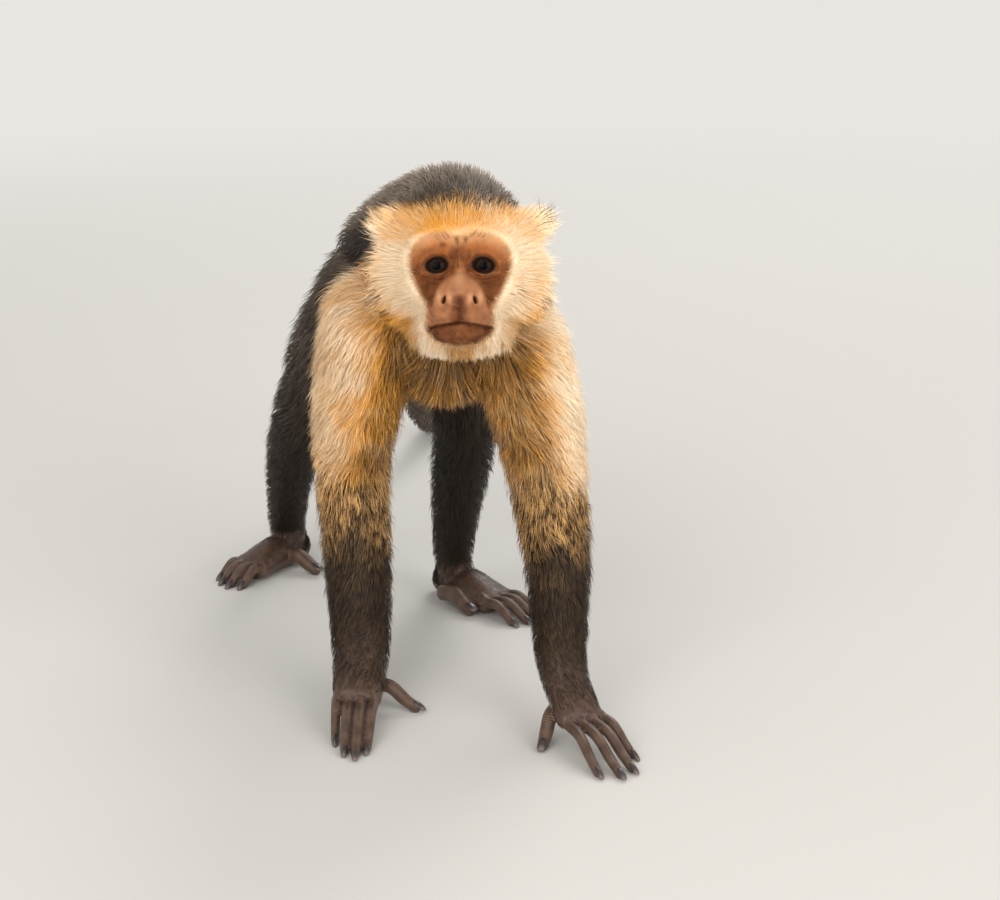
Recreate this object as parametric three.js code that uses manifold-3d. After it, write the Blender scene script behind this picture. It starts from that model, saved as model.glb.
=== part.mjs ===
// A white-faced capuchin monkey standing on all fours, life size, as a still museum model.
// Millimetres, +Z up, the animal faces -Y and its left side is +X. The outer faces are the
// tips of the coat; face, hands and feet are bare skin. The origin is the middle of the
// model's footprint, on the floor.
import * as THREE from "three";
import { mergeVertices } from "three/addons/utils/BufferGeometryUtils.js";
import Module from "manifold-3d";

const wasm = await Module();
wasm.setup();

// ---------------------------------------------------------------- driving dimensions

const GAP = 0.35; // clearance between neighbouring pieces
const LENGTH = { limb: 200, trunk: 220, tail: 400 }; // about how far each runs
const SINK = 0.8; // how far pads are modelled into the floor before they are cut flat
const MIRROR = { left: 1, right: -1 };
const radians = THREE.MathUtils.degToRad;
const vector = (p) => new THREE.Vector3(...p);

// The head's own frame has its origin in the middle of the skull.
const HEAD = { at: [0.7, 0, 249.3], yaw: -15, nod: -15 };
const EYE = { radius: 8.8, apart: 22.6, forward: 26.2, up: -1.8 };
const LIDS = { thickness: 1.9, opening: [5.9, 7, 4.4] };
const MOUTH = { height: -29, back: -15, width: 42, depth: 26 };
const EAR = { height: 26, width: 18, thickness: 3.4, out: 35.5, back: 15, up: 1, flare: 27 };

// Rounded masses of the head: centre, half sizes and how softly each melts into the rest.
// A mass off the middle is repeated on the other side.
const HEAD_MASSES = [
  { name: "cranium", at: [0, 9, 8], size: [34, 42, 30], soft: 6 },
  { name: "cheek ruff", at: [25.5, -6, -7], size: [22.5, 17, 28], soft: 12 },
  { name: "temple tuft", at: [34, -2, 18], size: [14, 12, 14], soft: 8 },
  { name: "brow", at: [11.5, -26, 10], size: [14.5, 8.5, 6], soft: 6 },
  { name: "eyelids", at: [11.3, -26.2, -1.8], size: [10.7, 10.7, 10.7], soft: 5 },
  { name: "cheekbone", at: [15, -21, -11], size: [13, 12, 10], soft: 6 },
  { name: "nose bridge", at: [0, -31.5, -4.5], size: [3.8, 6.6, 13], soft: 5 },
  { name: "nose", at: [0, -38.5, -13.7], size: [8.4, 6.8, 6.8], soft: 4 },
  { name: "nostril wing", at: [6.8, -40, -16], size: [4, 4.4, 4.6], soft: 2 },
  { name: "muzzle", at: [0, -31, -23.5], size: [18.5, 16, 10.5], soft: 5 },
  { name: "chin", at: [0, -28, -33], size: [16.5, 15.5, 8.5], soft: 4 },
  { name: "beard", at: [0, -13, -33], size: [27, 19, 14], soft: 8 },
];

// Trunk: centre line, half width and half height of the coat, from breast to rump.
const TRUNK = [
  { at: [2, 40, 204], girth: [34, 40] },
  { at: [8, 66, 208], girth: [43, 50] },
  { at: [21, 104, 215], girth: [47, 54] },
  { at: [34, 150, 224], girth: [46, 55] },
  { at: [29, 200, 215], girth: [45, 51] },
  { at: [18, 240, 205], girth: [40, 41] },
];
const CHEST_ENDS = 0.42; // share of the trunk's length where chest gives way to belly
const BELLY_ENDS = 0.74;

const NECK = [
  { at: [8, 100, 212], girth: [44, 48] },
  { at: [1, 50, 226], girth: [43, 38] },
  { at: [0, 2, 246], girth: [34, 28] },
];
const NAPE = { at: [0, 27, 234.5], normal: [-0.08, -0.73, 0.68] }; // where head and neck meet
const WITHERS = { at: [2, 50, 230], normal: [0, -0.61, 0.79] }; // where neck and chest meet

const TAIL = [
  { at: [15, 258, 212], girth: [17, 17] },
  { at: [18, 304, 205], girth: [15.5, 15.5] },
  { at: [32, 362, 168], girth: [14.5, 14.5] },
  { at: [58, 422, 100], girth: [13.5, 13.5] },
  { at: [88, 482, 36], girth: [12.5, 12.5] },
  { at: [112, 540, 12.2], girth: [12, 12] },
  { at: [148, 580, 10.7], girth: [11.3, 11.3] },
  { at: [184, 566, 9.6], girth: [10.2, 10.2] },
  { at: [186, 532, 8.4], girth: [9, 9] },
];
const TAIL_LENGTHS = 5;

// Forelimbs: shoulder, upper arm, elbow, forearm, wrist and the ball of the hand.
const ELBOW = 0.37; // where each limb is divided, as a share of its points
const WRIST = 0.8;
const ARMS = {
  left: [
    { at: [36, 25, 202], girth: [29, 33] },
    { at: [51, 38, 160], girth: [27.5, 28] },
    { at: [60, 46, 118], girth: [23.5, 23] },
    { at: [59, 22, 78], girth: [19.5, 20] },
    { at: [51.5, -12, 34], girth: [14.5, 13] },
    { at: [53, -40, 14], girth: [13.4, 8.2] },
  ],
  right: [
    { at: [-35, 51, 209], girth: [29.5, 35] },
    { at: [-41, 68, 161], girth: [26, 27.5] },
    { at: [-41.5, 84, 120], girth: [22.5, 22.5] },
    { at: [-43, 66, 78], girth: [20.5, 20.5] },
    { at: [-46.5, 42, 34], girth: [17, 14.5] },
    { at: [-54, 16, 14], girth: [13.6, 8.2] },
  ],
};

// Hind limbs: hip, thigh, knee, calf and ankle.
const KNEE = 0.48;
const LEGS = {
  left: [
    { at: [42, 228, 198], girth: [33, 38] },
    { at: [41, 182, 168], girth: [28, 32] },
    { at: [40, 146, 134], girth: [22.5, 25] },
    { at: [39, 164, 84], girth: [18.5, 19] },
    { at: [40, 184, 34], girth: [13.5, 14] },
    { at: [41, 186, 16], girth: [12, 12.5] },
  ],
  right: [
    { at: [0, 234, 194], girth: [30, 38] },
    { at: [-27, 206, 164], girth: [28, 32] },
    { at: [-44, 194, 132], girth: [23, 25] },
    { at: [-51, 234, 84], girth: [18, 20] },
    { at: [-50, 271, 34], girth: [13.5, 14] },
    { at: [-49, 274, 16], girth: [12, 12.5] },
  ],
};

// Hands and feet are laid out from the wrist or ankle: along the hand, and across it towards
// the thumb's side. Splay turns a digit towards the thumb's side.
const HANDS = {
  left: { at: [50.5, -14], heading: 9 },
  right: { at: [-48.5, 40], heading: -15 },
};
const FINGERS = {
  left: [
    { name: "thumb", along: 10, across: 8.6, splay: 42, length: 20, girth: 4 },
    { name: "index", along: 29, across: 9.6, splay: 1, length: 36, girth: 2.95 },
    { name: "middle", along: 31, across: 2.8, splay: -3, length: 40, girth: 3 },
    { name: "ring", along: 30, across: -3.9, splay: -6, length: 38, girth: 2.95 },
    { name: "little", along: 26, across: -10.4, splay: -11, length: 28, girth: 2.75 },
  ],
  right: [
    { name: "thumb", along: 4, across: 8.6, splay: 72, length: 24, girth: 4 },
    { name: "index", along: 29, across: 9.9, splay: -3, length: 33, girth: 2.95 },
    { name: "middle", along: 31, across: 3.2, splay: -1, length: 38, girth: 3 },
    { name: "ring", along: 29, across: -3.6, splay: 0, length: 35, girth: 2.95 },
    { name: "little", along: 25, across: -10.2, splay: 2, length: 26, girth: 2.75 },
  ],
};
const FEET = {
  left: { at: [41, 186], heading: 29 },
  right: { at: [-49, 273], heading: -52 },
};
const SOLE = [
  { along: -10, up: 8.6, girth: [8, 8.6] },
  { along: 0, up: 10.4, girth: [10.6, 10.8] },
  { along: 20, up: 10, girth: [12.6, 10.5] },
  { along: 37, up: 6.8, girth: [13.8, 7.2] },
];
const TOES = {
  left: [
    { name: "big_toe", along: 6, across: 14.5, splay: 5, length: 26, girth: 5.3 },
    { name: "second", along: 38, across: 9.2, splay: 2, length: 24, girth: 3.2 },
    { name: "third", along: 39, across: 2.4, splay: -1, length: 27, girth: 3.3 },
    { name: "fourth", along: 38, across: -4.4, splay: -3, length: 26, girth: 3.2 },
    { name: "fifth", along: 36, across: -10.8, splay: -6, length: 22, girth: 3 },
  ],
  right: [
    { name: "big_toe", along: 8, across: 7, splay: 90, length: 23, girth: 5.1 },
    { name: "second", along: 36, across: 9.2, splay: 2, length: 18, girth: 3.2 },
    { name: "third", along: 37, across: 2.4, splay: 0, length: 20, girth: 3.3 },
    { name: "fourth", along: 36, across: -4.4, splay: -3, length: 19, girth: 3.2 },
    { name: "fifth", along: 34, across: -10.8, splay: -6, length: 16, girth: 3 },
  ],
};
const FINGER_LIFT = [13.5, 12.8, 6.4, 2]; // height of knuckle, two joints and tip
const TOE_LIFT = [7.5, 9.4, 6, 2];
const NAIL = { length: 4.2, width: 0.66, thickness: 1.5, forward: 1 };

// ---------------------------------------------------------------- making solids

function solidOf(geometry) {
  const bare = new THREE.BufferGeometry();
  bare.setAttribute("position", geometry.getAttribute("position"));
  bare.setIndex(geometry.getIndex());
  const merged = mergeVertices(bare, 1e-3);
  return new wasm.Manifold(
    new wasm.Mesh({
      numProp: 3,
      vertProperties: merged.attributes.position.array,
      triVerts: new Uint32Array(merged.index.array),
    }),
  );
}

function geometryOf(solid) {
  const mesh = solid.getMesh();
  const geometry = new THREE.BufferGeometry();
  geometry.setAttribute("position", new THREE.BufferAttribute(mesh.vertProperties, 3));
  geometry.setIndex(new THREE.BufferAttribute(mesh.triVerts, 1));
  geometry.computeVertexNormals();
  return geometry;
}

// The largest body of a solid, so that a cut leaves no crumbs.
function mainBody(solid) {
  return solid.decompose().reduce((a, b) => (a.volume() > b.volume() ? a : b));
}

const onFloor = (solid) => solid.trimByPlane([0, 0, 1], 0);

// Half the clearance, as a share of a length.
const halfGap = (length) => GAP / 2 / length;

// The part of a solid on one side of a plane through a point: 1 keeps what the normal faces.
function cutAt(solid, plane, side) {
  const normal = vector(plane.normal).normalize().multiplyScalar(side);
  return solid.trimByPlane(normal.toArray(), normal.dot(vector(plane.at)) + GAP / 2);
}

// A closed body swept along stations of centre and half sizes, between two shares of its
// length. `across` is the direction of the half width. A round end is closed with a dome.
function sweep(stations, options) {
  const { sides, rings, from = 0, to = 1, grow = 0, across = [1, 0, 0] } = options;
  const { domeStart = 0, domeEnd = 0, domeRings = 3 } = options;
  const spine = new THREE.CatmullRomCurve3(stations.map((s) => vector(s.at)), false, "catmullrom");
  const girth = new THREE.CatmullRomCurve3(
    stations.map((s) => vector([...s.girth, 0])),
    false,
    "catmullrom",
  );
  const domeTurn = (k) => ((k - 0.25) / domeRings) * (Math.PI / 2);
  const slices = [];
  for (let k = domeRings; domeStart > 0 && k >= 1; k--)
    slices.push({ u: from, turn: domeTurn(k), reach: -domeStart });
  for (let i = 0; i <= rings; i++)
    slices.push({ u: from + ((to - from) * i) / rings, turn: 0, reach: 0 });
  for (let k = 1; domeEnd > 0 && k <= domeRings; k++)
    slices.push({ u: to, turn: domeTurn(k), reach: domeEnd });

  const points = [];
  const faces = [];
  for (const { u, turn, reach } of slices) {
    const along = spine.getTangent(u);
    const wide = vector(across).addScaledVector(along, -vector(across).dot(along)).normalize();
    const deep = new THREE.Vector3().crossVectors(along, wide);
    const half = girth.getPoint(u);
    const centre = spine.getPoint(u).addScaledVector(along, reach * half.y * Math.sin(turn));
    for (let j = 0; j < sides; j++) {
      const angle = (2 * Math.PI * j) / sides;
      const point = centre
        .clone()
        .addScaledVector(wide, (half.x * Math.cos(turn) + grow) * Math.cos(angle))
        .addScaledVector(deep, (half.y * Math.cos(turn) + grow) * Math.sin(angle));
      points.push(...point.toArray());
    }
  }
  const last = slices.length - 1;
  for (let i = 0; i < last; i++)
    for (let j = 0; j < sides; j++) {
      const [a, b] = [i * sides + j, i * sides + ((j + 1) % sides)];
      faces.push(a, b, a + sides, b, b + sides, a + sides);
    }
  for (const [ring, end, side] of [[0, from, -1], [last, to, 1]]) {
    const dome = side < 0 ? domeStart : domeEnd;
    const tip = spine.getPoint(end);
    if (dome > 0) {
      const reach = side * (dome * girth.getPoint(end).y + grow);
      tip.addScaledVector(spine.getTangent(end), reach);
    }
    const pole = points.length / 3;
    points.push(...tip.toArray());
    for (let j = 0; j < sides; j++) {
      const [a, b] = [ring * sides + j, ring * sides + ((j + 1) % sides)];
      faces.push(...(side < 0 ? [pole, b, a] : [pole, a, b]));
    }
  }
  const geometry = new THREE.BufferGeometry();
  geometry.setAttribute("position", new THREE.Float32BufferAttribute(points, 3));
  geometry.setIndex(faces);
  return solidOf(geometry);
}

// ---------------------------------------------------------------- the head

// Signed distance to an ellipsoid, near enough for blending.
function ellipsoid(p, at, size) {
  const q = [0, 1, 2].map((i) => (p[i] - at[i]) / size[i]);
  const scaled = Math.hypot(...q);
  const slope = Math.hypot(...q.map((value, i) => value / size[i]));
  return (scaled * (scaled - 1)) / Math.max(slope, 1e-9);
}

// The smaller of two distances, melted together over a width.
function melt(a, b, width) {
  const h = Math.max(width - Math.abs(a - b), 0) / width;
  return Math.min(a, b) - (h * h * width) / 4;
}

function headField(x, y, z) {
  const p = [Math.abs(x), y, z];
  let distance = Infinity;
  for (const mass of HEAD_MASSES) {
    const one = ellipsoid(p, mass.at, mass.size);
    distance = distance === Infinity ? one : melt(distance, one, mass.soft);
  }
  return distance;
}

// A sphere whose poles face front and back, every point moved out to the blended masses.
// Rings are closer together on the face than at the back of the skull.
function headGeometry(grow = 0) {
  const [AROUND, RINGS, REACH, STEPS] = [26, 20, 75, 22];
  const CENTRE = new THREE.Vector3(0, -4, -4);
  const geometry = new THREE.SphereGeometry(1, AROUND, RINGS);
  const position = geometry.getAttribute("position");
  for (let i = 0; i < position.count; i++) {
    const point = new THREE.Vector3().fromBufferAttribute(position, i);
    const polar = Math.acos(THREE.MathUtils.clamp(point.y, -1, 1));
    const share = Math.pow(polar / Math.PI, 1.35) * Math.PI;
    const around = Math.atan2(point.z, point.x);
    const out = new THREE.Vector3(
      -Math.sin(share) * Math.cos(around),
      -Math.cos(share),
      Math.sin(share) * Math.sin(around),
    );
    let [inside, outside] = [4, REACH];
    for (let k = 0; k < STEPS; k++) {
      const middle = (inside + outside) / 2;
      const at = CENTRE.clone().addScaledVector(out, middle);
      if (headField(at.x, at.y, at.z) < 0) inside = middle;
      else outside = middle;
    }
    out.multiplyScalar(inside + grow).add(CENTRE);
    if (share < 1e-4 || share > Math.PI - 1e-4) out.x = 0;
    position.setXYZ(i, out.x, out.y, out.z);
  }
  return geometry;
}

const headPose = new THREE.Matrix4()
  .makeRotationFromEuler(new THREE.Euler(radians(HEAD.nod), 0, radians(HEAD.yaw), "ZYX"))
  .setPosition(...HEAD.at);

const eyeCentre = (side) => [(MIRROR[side] * EYE.apart) / 2, -EYE.forward, EYE.up];

function eyeball(side, grow = 0) {
  const geometry = new THREE.SphereGeometry(EYE.radius + grow, 10, 7);
  return solidOf(geometry.translate(...eyeCentre(side)));
}

// The opening between the lids of one eye.
function lidOpening(side) {
  const [x, y, z] = eyeCentre(side);
  const geometry = new THREE.SphereGeometry(1, 10, 6).scale(...LIDS.opening);
  return solidOf(geometry.translate(x, y - EYE.radius - LIDS.thickness, z));
}

// A box below the line of the lips, in front of the throat.
function jawRegion(grow) {
  const { height, back, width, depth } = MOUTH;
  const geometry = new THREE.BoxGeometry(width, 60, depth);
  geometry.translate(0, back - 30, height - depth / 2);
  return solidOf(geometry.translate(0, grow, grow));
}

// A shallow dish set into the side of the head.
function ear(side) {
  const shell = new THREE.SphereGeometry(1, 10, 6);
  shell.scale(EAR.thickness, EAR.width / 2, EAR.height / 2);
  const bowl = new THREE.SphereGeometry(1, 8, 5);
  bowl.scale(EAR.thickness, EAR.width / 2 - 2.6, EAR.height / 2 - 2.8);
  bowl.translate(EAR.thickness * 0.85, 0, 0);
  const place = new THREE.Matrix4()
    .makeRotationZ(radians(-EAR.flare))
    .setPosition(EAR.out, EAR.back, EAR.up);
  const flip = new THREE.Matrix4().makeScale(MIRROR[side], 1, 1);
  const [outer, inner] = [shell, bowl].map((g) => solidOf(g.applyMatrix4(place)));
  const dish = outer.subtract(inner);
  const geometry = geometryOf(dish).applyMatrix4(flip);
  if (MIRROR[side] < 0) geometry.index.array.reverse();
  return solidOf(geometry);
}

function headNodes() {
  const sockets = Object.keys(MIRROR)
    .map((side) => eyeball(side, GAP).add(lidOpening(side)))
    .reduce((a, b) => a.add(b));
  const posed = solidOf(headGeometry().applyMatrix4(headPose));
  const upright = geometryOf(cutAt(posed, NAPE, 1)).applyMatrix4(headPose.clone().invert());
  const whole = solidOf(upright).subtract(sockets);
  const grown = solidOf(headGeometry(GAP));
  const nodes = {
    head: mainBody(whole.subtract(jawRegion(GAP))),
    lower_jaw: mainBody(whole.intersect(jawRegion(0))),
  };
  for (const side of Object.keys(MIRROR)) {
    nodes[`eye_${side}`] = eyeball(side);
    nodes[`ear_${side}`] = mainBody(ear(side).subtract(grown));
  }
  return nodes;
}

// ---------------------------------------------------------------- hands and feet

// The place of a point given along and across a hand or foot, at a height.
function placed(side, base, along, across, up) {
  const turn = radians(base.heading);
  const [ahead, inward] = [
    [Math.sin(turn), -Math.cos(turn)],
    [-MIRROR[side] * Math.cos(turn), -MIRROR[side] * Math.sin(turn)],
  ];
  const [x, y] = [0, 1].map((i) => base.at[i] + along * ahead[i] + across * inward[i]);
  return [x, y, up];
}

// The centre line and girth of one finger or toe, from inside the palm to its tip.
function digitStations(side, base, digit, lift) {
  const KNUCKLES = [0, 0.4, 0.74, 1];
  const THICKNESS = [1.12, 1.04, 0.97, 0.84];
  const turn = radians(digit.splay);
  return KNUCKLES.map((share, i) => {
    const reach = share * digit.length;
    const along = digit.along + reach * Math.cos(turn);
    const across = digit.across + reach * Math.sin(turn);
    const girth = digit.girth * THICKNESS[i];
    const up = Math.max(lift[i], girth - SINK);
    return { at: placed(side, base, along, across, up), girth: [girth, girth * 0.94] };
  });
}

function digitSolid(side, base, digit, lift) {
  const stations = digitStations(side, base, digit, lift);
  return sweep(stations, {
    sides: 6,
    rings: 3,
    across: crosswise(stations),
    domeEnd: 0.95,
    domeRings: 2,
  });
}

// The level direction square to a run of stations.
function crosswise(stations) {
  const [first, last] = [stations[0].at, stations[stations.length - 1].at];
  return [last[1] - first[1], first[0] - last[0], 0];
}

// A domed plate lying on the back of a digit's last joint, flat underneath.
function nail(side, base, digit, lift) {
  const stations = digitStations(side, base, digit, lift);
  const tip = stations[stations.length - 1];
  const spine = new THREE.CatmullRomCurve3(stations.map((s) => vector(s.at)));
  const along = spine.getTangent(1);
  const wide = vector(crosswise(stations)).normalize();
  const out = new THREE.Vector3().crossVectors(wide, along).normalize();
  if (out.z < 0) out.negate();
  wide.crossVectors(along, out);
  const geometry = new THREE.SphereGeometry(1, 6, 4).rotateX(Math.PI / 2);
  geometry.scale(NAIL.width * tip.girth[0], NAIL.length, NAIL.thickness);
  const at = vector(tip.at).addScaledVector(along, NAIL.forward);
  at.addScaledVector(out, tip.girth[1] * Math.sin(Math.PI / 3) + GAP);
  geometry.applyMatrix4(new THREE.Matrix4().makeBasis(wide, along, out).setPosition(at));
  return onFloor(solidOf(geometry).trimByPlane(out.toArray(), out.dot(at)));
}

// Joins digits to a palm or sole, cuts the pads flat and lays a nail on each digit.
function withDigits(part, nodes, palm, side, base, digits, lift) {
  let whole = palm;
  for (const digit of digits) {
    whole = whole.add(digitSolid(side, base, digit, lift));
    nodes[`nail_${part}_${side}_${digit.name}`] = nail(side, base, digit, lift);
  }
  nodes[`${part}_${side}`] = mainBody(onFloor(whole));
}

// ---------------------------------------------------------------- limbs, trunk and tail

function armNodes(side, trunk) {
  const form = { sides: 12, across: [1, 0.2, 0] };
  const stations = ARMS[side];
  const joint = halfGap(LENGTH.limb);
  const nodes = {};
  const upper = sweep(stations, { ...form, rings: 5, to: ELBOW - joint, domeStart: 0.8 });
  nodes[`upper_arm_${side}`] = mainBody(upper.subtract(trunk));
  nodes[`forearm_${side}`] = sweep(stations, {
    ...form,
    rings: 5,
    from: ELBOW + joint,
    to: WRIST - joint,
  });
  const palm = sweep(stations, { ...form, rings: 3, from: WRIST + joint, domeEnd: 0.7 });
  withDigits("hand", nodes, palm, side, HANDS[side], FINGERS[side], FINGER_LIFT);
  return nodes;
}

function legNodes(side, trunk) {
  const form = { sides: 12, across: [1, 0, 0] };
  const stations = LEGS[side];
  const joint = halfGap(LENGTH.limb);
  const nodes = {};
  const base = FEET[side];
  const soleStations = (grow) =>
    SOLE.map(({ along, up, girth }) => ({
      at: placed(side, base, along, 0, up - SINK),
      girth: girth.map((half) => half + grow),
    }));
  const sole = (grow) =>
    sweep(soleStations(grow), {
      sides: 10,
      rings: 4,
      across: crosswise(soleStations(0)),
      domeStart: 0.8,
      domeEnd: 0.6,
      domeRings: 2,
    });
  const thigh = sweep(stations, { ...form, rings: 5, to: KNEE - joint, domeStart: 0.8 });
  const shank = sweep(stations, { ...form, rings: 5, from: KNEE + joint });
  nodes[`thigh_${side}`] = mainBody(thigh.subtract(trunk));
  nodes[`shank_${side}`] = mainBody(shank.subtract(sole(GAP)));
  withDigits("foot", nodes, sole(0), side, base, TOES[side], TOE_LIFT);
  return nodes;
}

function trunkSweep(from, to, options) {
  return sweep(TRUNK, { sides: 20, from, to, ...options });
}

function bodyNodes() {
  const joint = halfGap(LENGTH.trunk);
  const trunk = trunkSweep(0, 1, { rings: 14, domeStart: 0.7, domeEnd: 0.8, grow: GAP });
  const head = solidOf(headGeometry(GAP).applyMatrix4(headPose));
  const neckForm = { sides: 18, rings: 4 };
  const chest = trunkSweep(0, CHEST_ENDS - joint, { rings: 5, domeStart: 0.7 });
  const nodes = {
    neck: mainBody(cutAt(cutAt(sweep(NECK, neckForm), NAPE, -1), WITHERS, 1)),
    chest: mainBody(cutAt(chest, WITHERS, -1)),
    belly: trunkSweep(CHEST_ENDS + joint, BELLY_ENDS - joint, { rings: 4 }),
    rump: trunkSweep(BELLY_ENDS + joint, 1, { rings: 3, domeEnd: 0.8 }),
  };
  const shoulders = trunk.add(head).add(sweep(NECK, { ...neckForm, grow: GAP }));
  for (const side of Object.keys(MIRROR)) {
    Object.assign(nodes, armNodes(side, shoulders), legNodes(side, trunk));
  }
  const [share, between] = [1 / TAIL_LENGTHS, halfGap(LENGTH.tail)];
  for (let i = 0; i < TAIL_LENGTHS; i++) {
    const length = sweep(TAIL, {
      sides: 8,
      rings: 4,
      across: [0, 0, 1],
      from: i * share + (i ? between : 0),
      to: (i + 1) * share - (i < TAIL_LENGTHS - 1 ? between : 0),
      domeEnd: i === TAIL_LENGTHS - 1 ? 1.2 : 0,
    });
    nodes[`tail_${i + 1}`] = mainBody(onFloor(i ? length : length.subtract(trunk)));
  }
  return nodes;
}

// ---------------------------------------------------------------- finish and assembly

const FINISH = {
  cream: { color: 0xe6c188, roughness: 0.9 },
  gold: { color: 0xc99a5a, roughness: 0.9 },
  dark: { color: 0x40332c, roughness: 0.85 },
  skin: { color: 0x4d3b38, roughness: 0.6 },
  nail: { color: 0x2b2426, roughness: 0.35 },
  eye: { color: 0x140d09, roughness: 0.05 },
  ear: { color: 0x8a6350, roughness: 0.7 },
};

const FINISH_OF = [
  [/^(head|lower_jaw|neck)/, "cream"],
  [/^(chest|upper_arm)/, "gold"],
  [/^(belly|rump|tail|thigh|shank|forearm)/, "dark"],
  [/^(hand|foot)/, "skin"],
  [/^nail/, "nail"],
  [/^eye/, "eye"],
  [/^ear/, "ear"],
];

function nodeMesh(name, solid) {
  const finish = FINISH_OF.find(([pattern]) => pattern.test(name))[1];
  const material = new THREE.MeshStandardMaterial({ metalness: 0, ...FINISH[finish] });
  const mesh = new THREE.Mesh(geometryOf(solid), material);
  mesh.name = name;
  return mesh;
}

const monkey = new THREE.Group();
const head = new THREE.Group();
head.applyMatrix4(headPose);
for (const [name, solid] of Object.entries(headNodes())) head.add(nodeMesh(name, solid));
monkey.add(head);
for (const [name, solid] of Object.entries(bodyNodes())) monkey.add(nodeMesh(name, solid));

// Puts the origin in the middle of the model's footprint, on the floor.
const footprint = new THREE.Box3().setFromObject(monkey, true);
const middle = footprint.getCenter(new THREE.Vector3());
monkey.position.set(-middle.x, -middle.y, -footprint.min.z);

export default monkey;
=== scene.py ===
"""A white-faced capuchin monkey standing on all fours, life size, as a still museum model.

One skin takes the place of the part's flesh and lies under the tips of its coat. Eyes, nails,
bristles and each length of coat are pieces of their own. Tables are in millimetres, in the
part's own modelling frame: the animal faces -Y and its left side is +X. Heads have a frame of
their own, with the line of the eyes at z = 0.
"""

import math

import bpy
import numpy as np
from bpy.props import FloatProperty, FloatVectorProperty, PointerProperty
from mathutils import Matrix, Vector
from mathutils.kdtree import KDTree


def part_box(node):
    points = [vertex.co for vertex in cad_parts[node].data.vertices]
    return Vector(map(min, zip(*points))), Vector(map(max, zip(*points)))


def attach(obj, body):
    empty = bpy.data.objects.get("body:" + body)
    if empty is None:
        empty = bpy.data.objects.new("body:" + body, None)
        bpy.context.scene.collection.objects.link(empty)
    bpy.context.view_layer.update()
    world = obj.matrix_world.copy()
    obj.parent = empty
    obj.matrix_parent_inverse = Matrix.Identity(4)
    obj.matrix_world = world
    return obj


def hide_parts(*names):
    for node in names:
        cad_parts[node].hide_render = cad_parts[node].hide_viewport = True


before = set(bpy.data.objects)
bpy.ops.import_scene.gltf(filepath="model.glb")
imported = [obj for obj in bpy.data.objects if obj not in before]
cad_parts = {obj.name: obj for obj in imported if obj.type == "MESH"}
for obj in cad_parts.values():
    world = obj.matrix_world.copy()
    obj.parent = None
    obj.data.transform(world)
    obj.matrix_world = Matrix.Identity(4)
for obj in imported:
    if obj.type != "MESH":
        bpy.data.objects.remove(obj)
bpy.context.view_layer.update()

bl_info = {
    "name": "Capuchin monkey",
    "version": (1, 0, 0),
    "blender": (4, 5, 0),
    "location": "View3D > Sidebar > Capuchin",
    "description": "Skin, coat, eyes and nails of a life-size capuchin monkey",
    "category": "Object",
}

# ------------------------------------------------------------------ driving dimensions

MM = 0.001
ROOT = "root"
SIDES = {"left": 1.0, "right": -1.0}

# The head frame's place and its turns in degrees, with the eyes and ears within it.
HEAD = {"at": (0.7, 0.0, 249.3), "yaw": -15.0, "nod": -15.0}
EYE = {"radius": 8.8, "apart": 22.6, "forward": 26.2, "up": -1.8, "cornea": 0.7}
EAR = {"height": 26.0, "width": 18.0, "depth": 3.4, "out": 35.5, "back": 15.0, "up": 1.0}
EAR_FLARE = 27.0

# Rounded masses of the head: centre, half sizes and how softly each melts into the rest.
# A mass off the middle is repeated on the other side.
HEAD_MASSES = {
    "cranium": ((0, 9, 8), (34, 42, 30), 6),
    "cheek ruff": ((25.5, -6, -7), (22.5, 17, 28), 12),
    "temple tuft": ((34, -2, 18), (14, 12, 14), 8),
    "brow": ((11.5, -26, 10), (14.5, 8.5, 6), 6),
    "eyelids": ((11.3, -26.2, -1.8), (10.7, 10.7, 10.7), 5),
    "cheekbone": ((15, -21, -11), (13, 12, 10), 6),
    "nose bridge": ((0, -31.5, -4.5), (3.8, 6.6, 13), 5),
    "nose": ((0, -38.5, -13.7), (8.4, 6.8, 6.8), 4),
    "nostril wing": ((6.8, -40, -16), (4, 4.4, 4.6), 2),
    "muzzle": ((0, -31, -23.5), (18.5, 16, 10.5), 5),
    "chin": ((0, -28, -33), (16.5, 15.5, 8.5), 4),
    "beard": ((0, -13, -33), (27, 19, 14), 8),
}
HEAD_MIDDLE = np.array([0.0, -4.0, -4.0])

# The edge of the bare face: height above the eyes and half width.
FACE_EDGE = [
    (-41.6, 2), (-40.4, 8), (-38.4, 12.4), (-36, 15), (-33.5, 16.8), (-30.5, 17.4), (-27, 17.2),
    (-23, 16.6), (-19, 17.6), (-15, 20), (-10, 22.4), (-5, 24.4), (0, 25.3), (4.2, 24.8),
    (8.2, 22.8), (11.6, 19.4), (14.2, 14), (14.9, 8), (13.2, 2),
]
# Half width of the nose and the raised top of the muzzle, by height.
MUZZLE_EDGE = [
    (-28, 18.5), (-24, 17), (-20, 13.8), (-16, 12), (-12, 10.4), (-9, 8), (-6, 4.6), (-3, 2.6),
]

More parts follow.
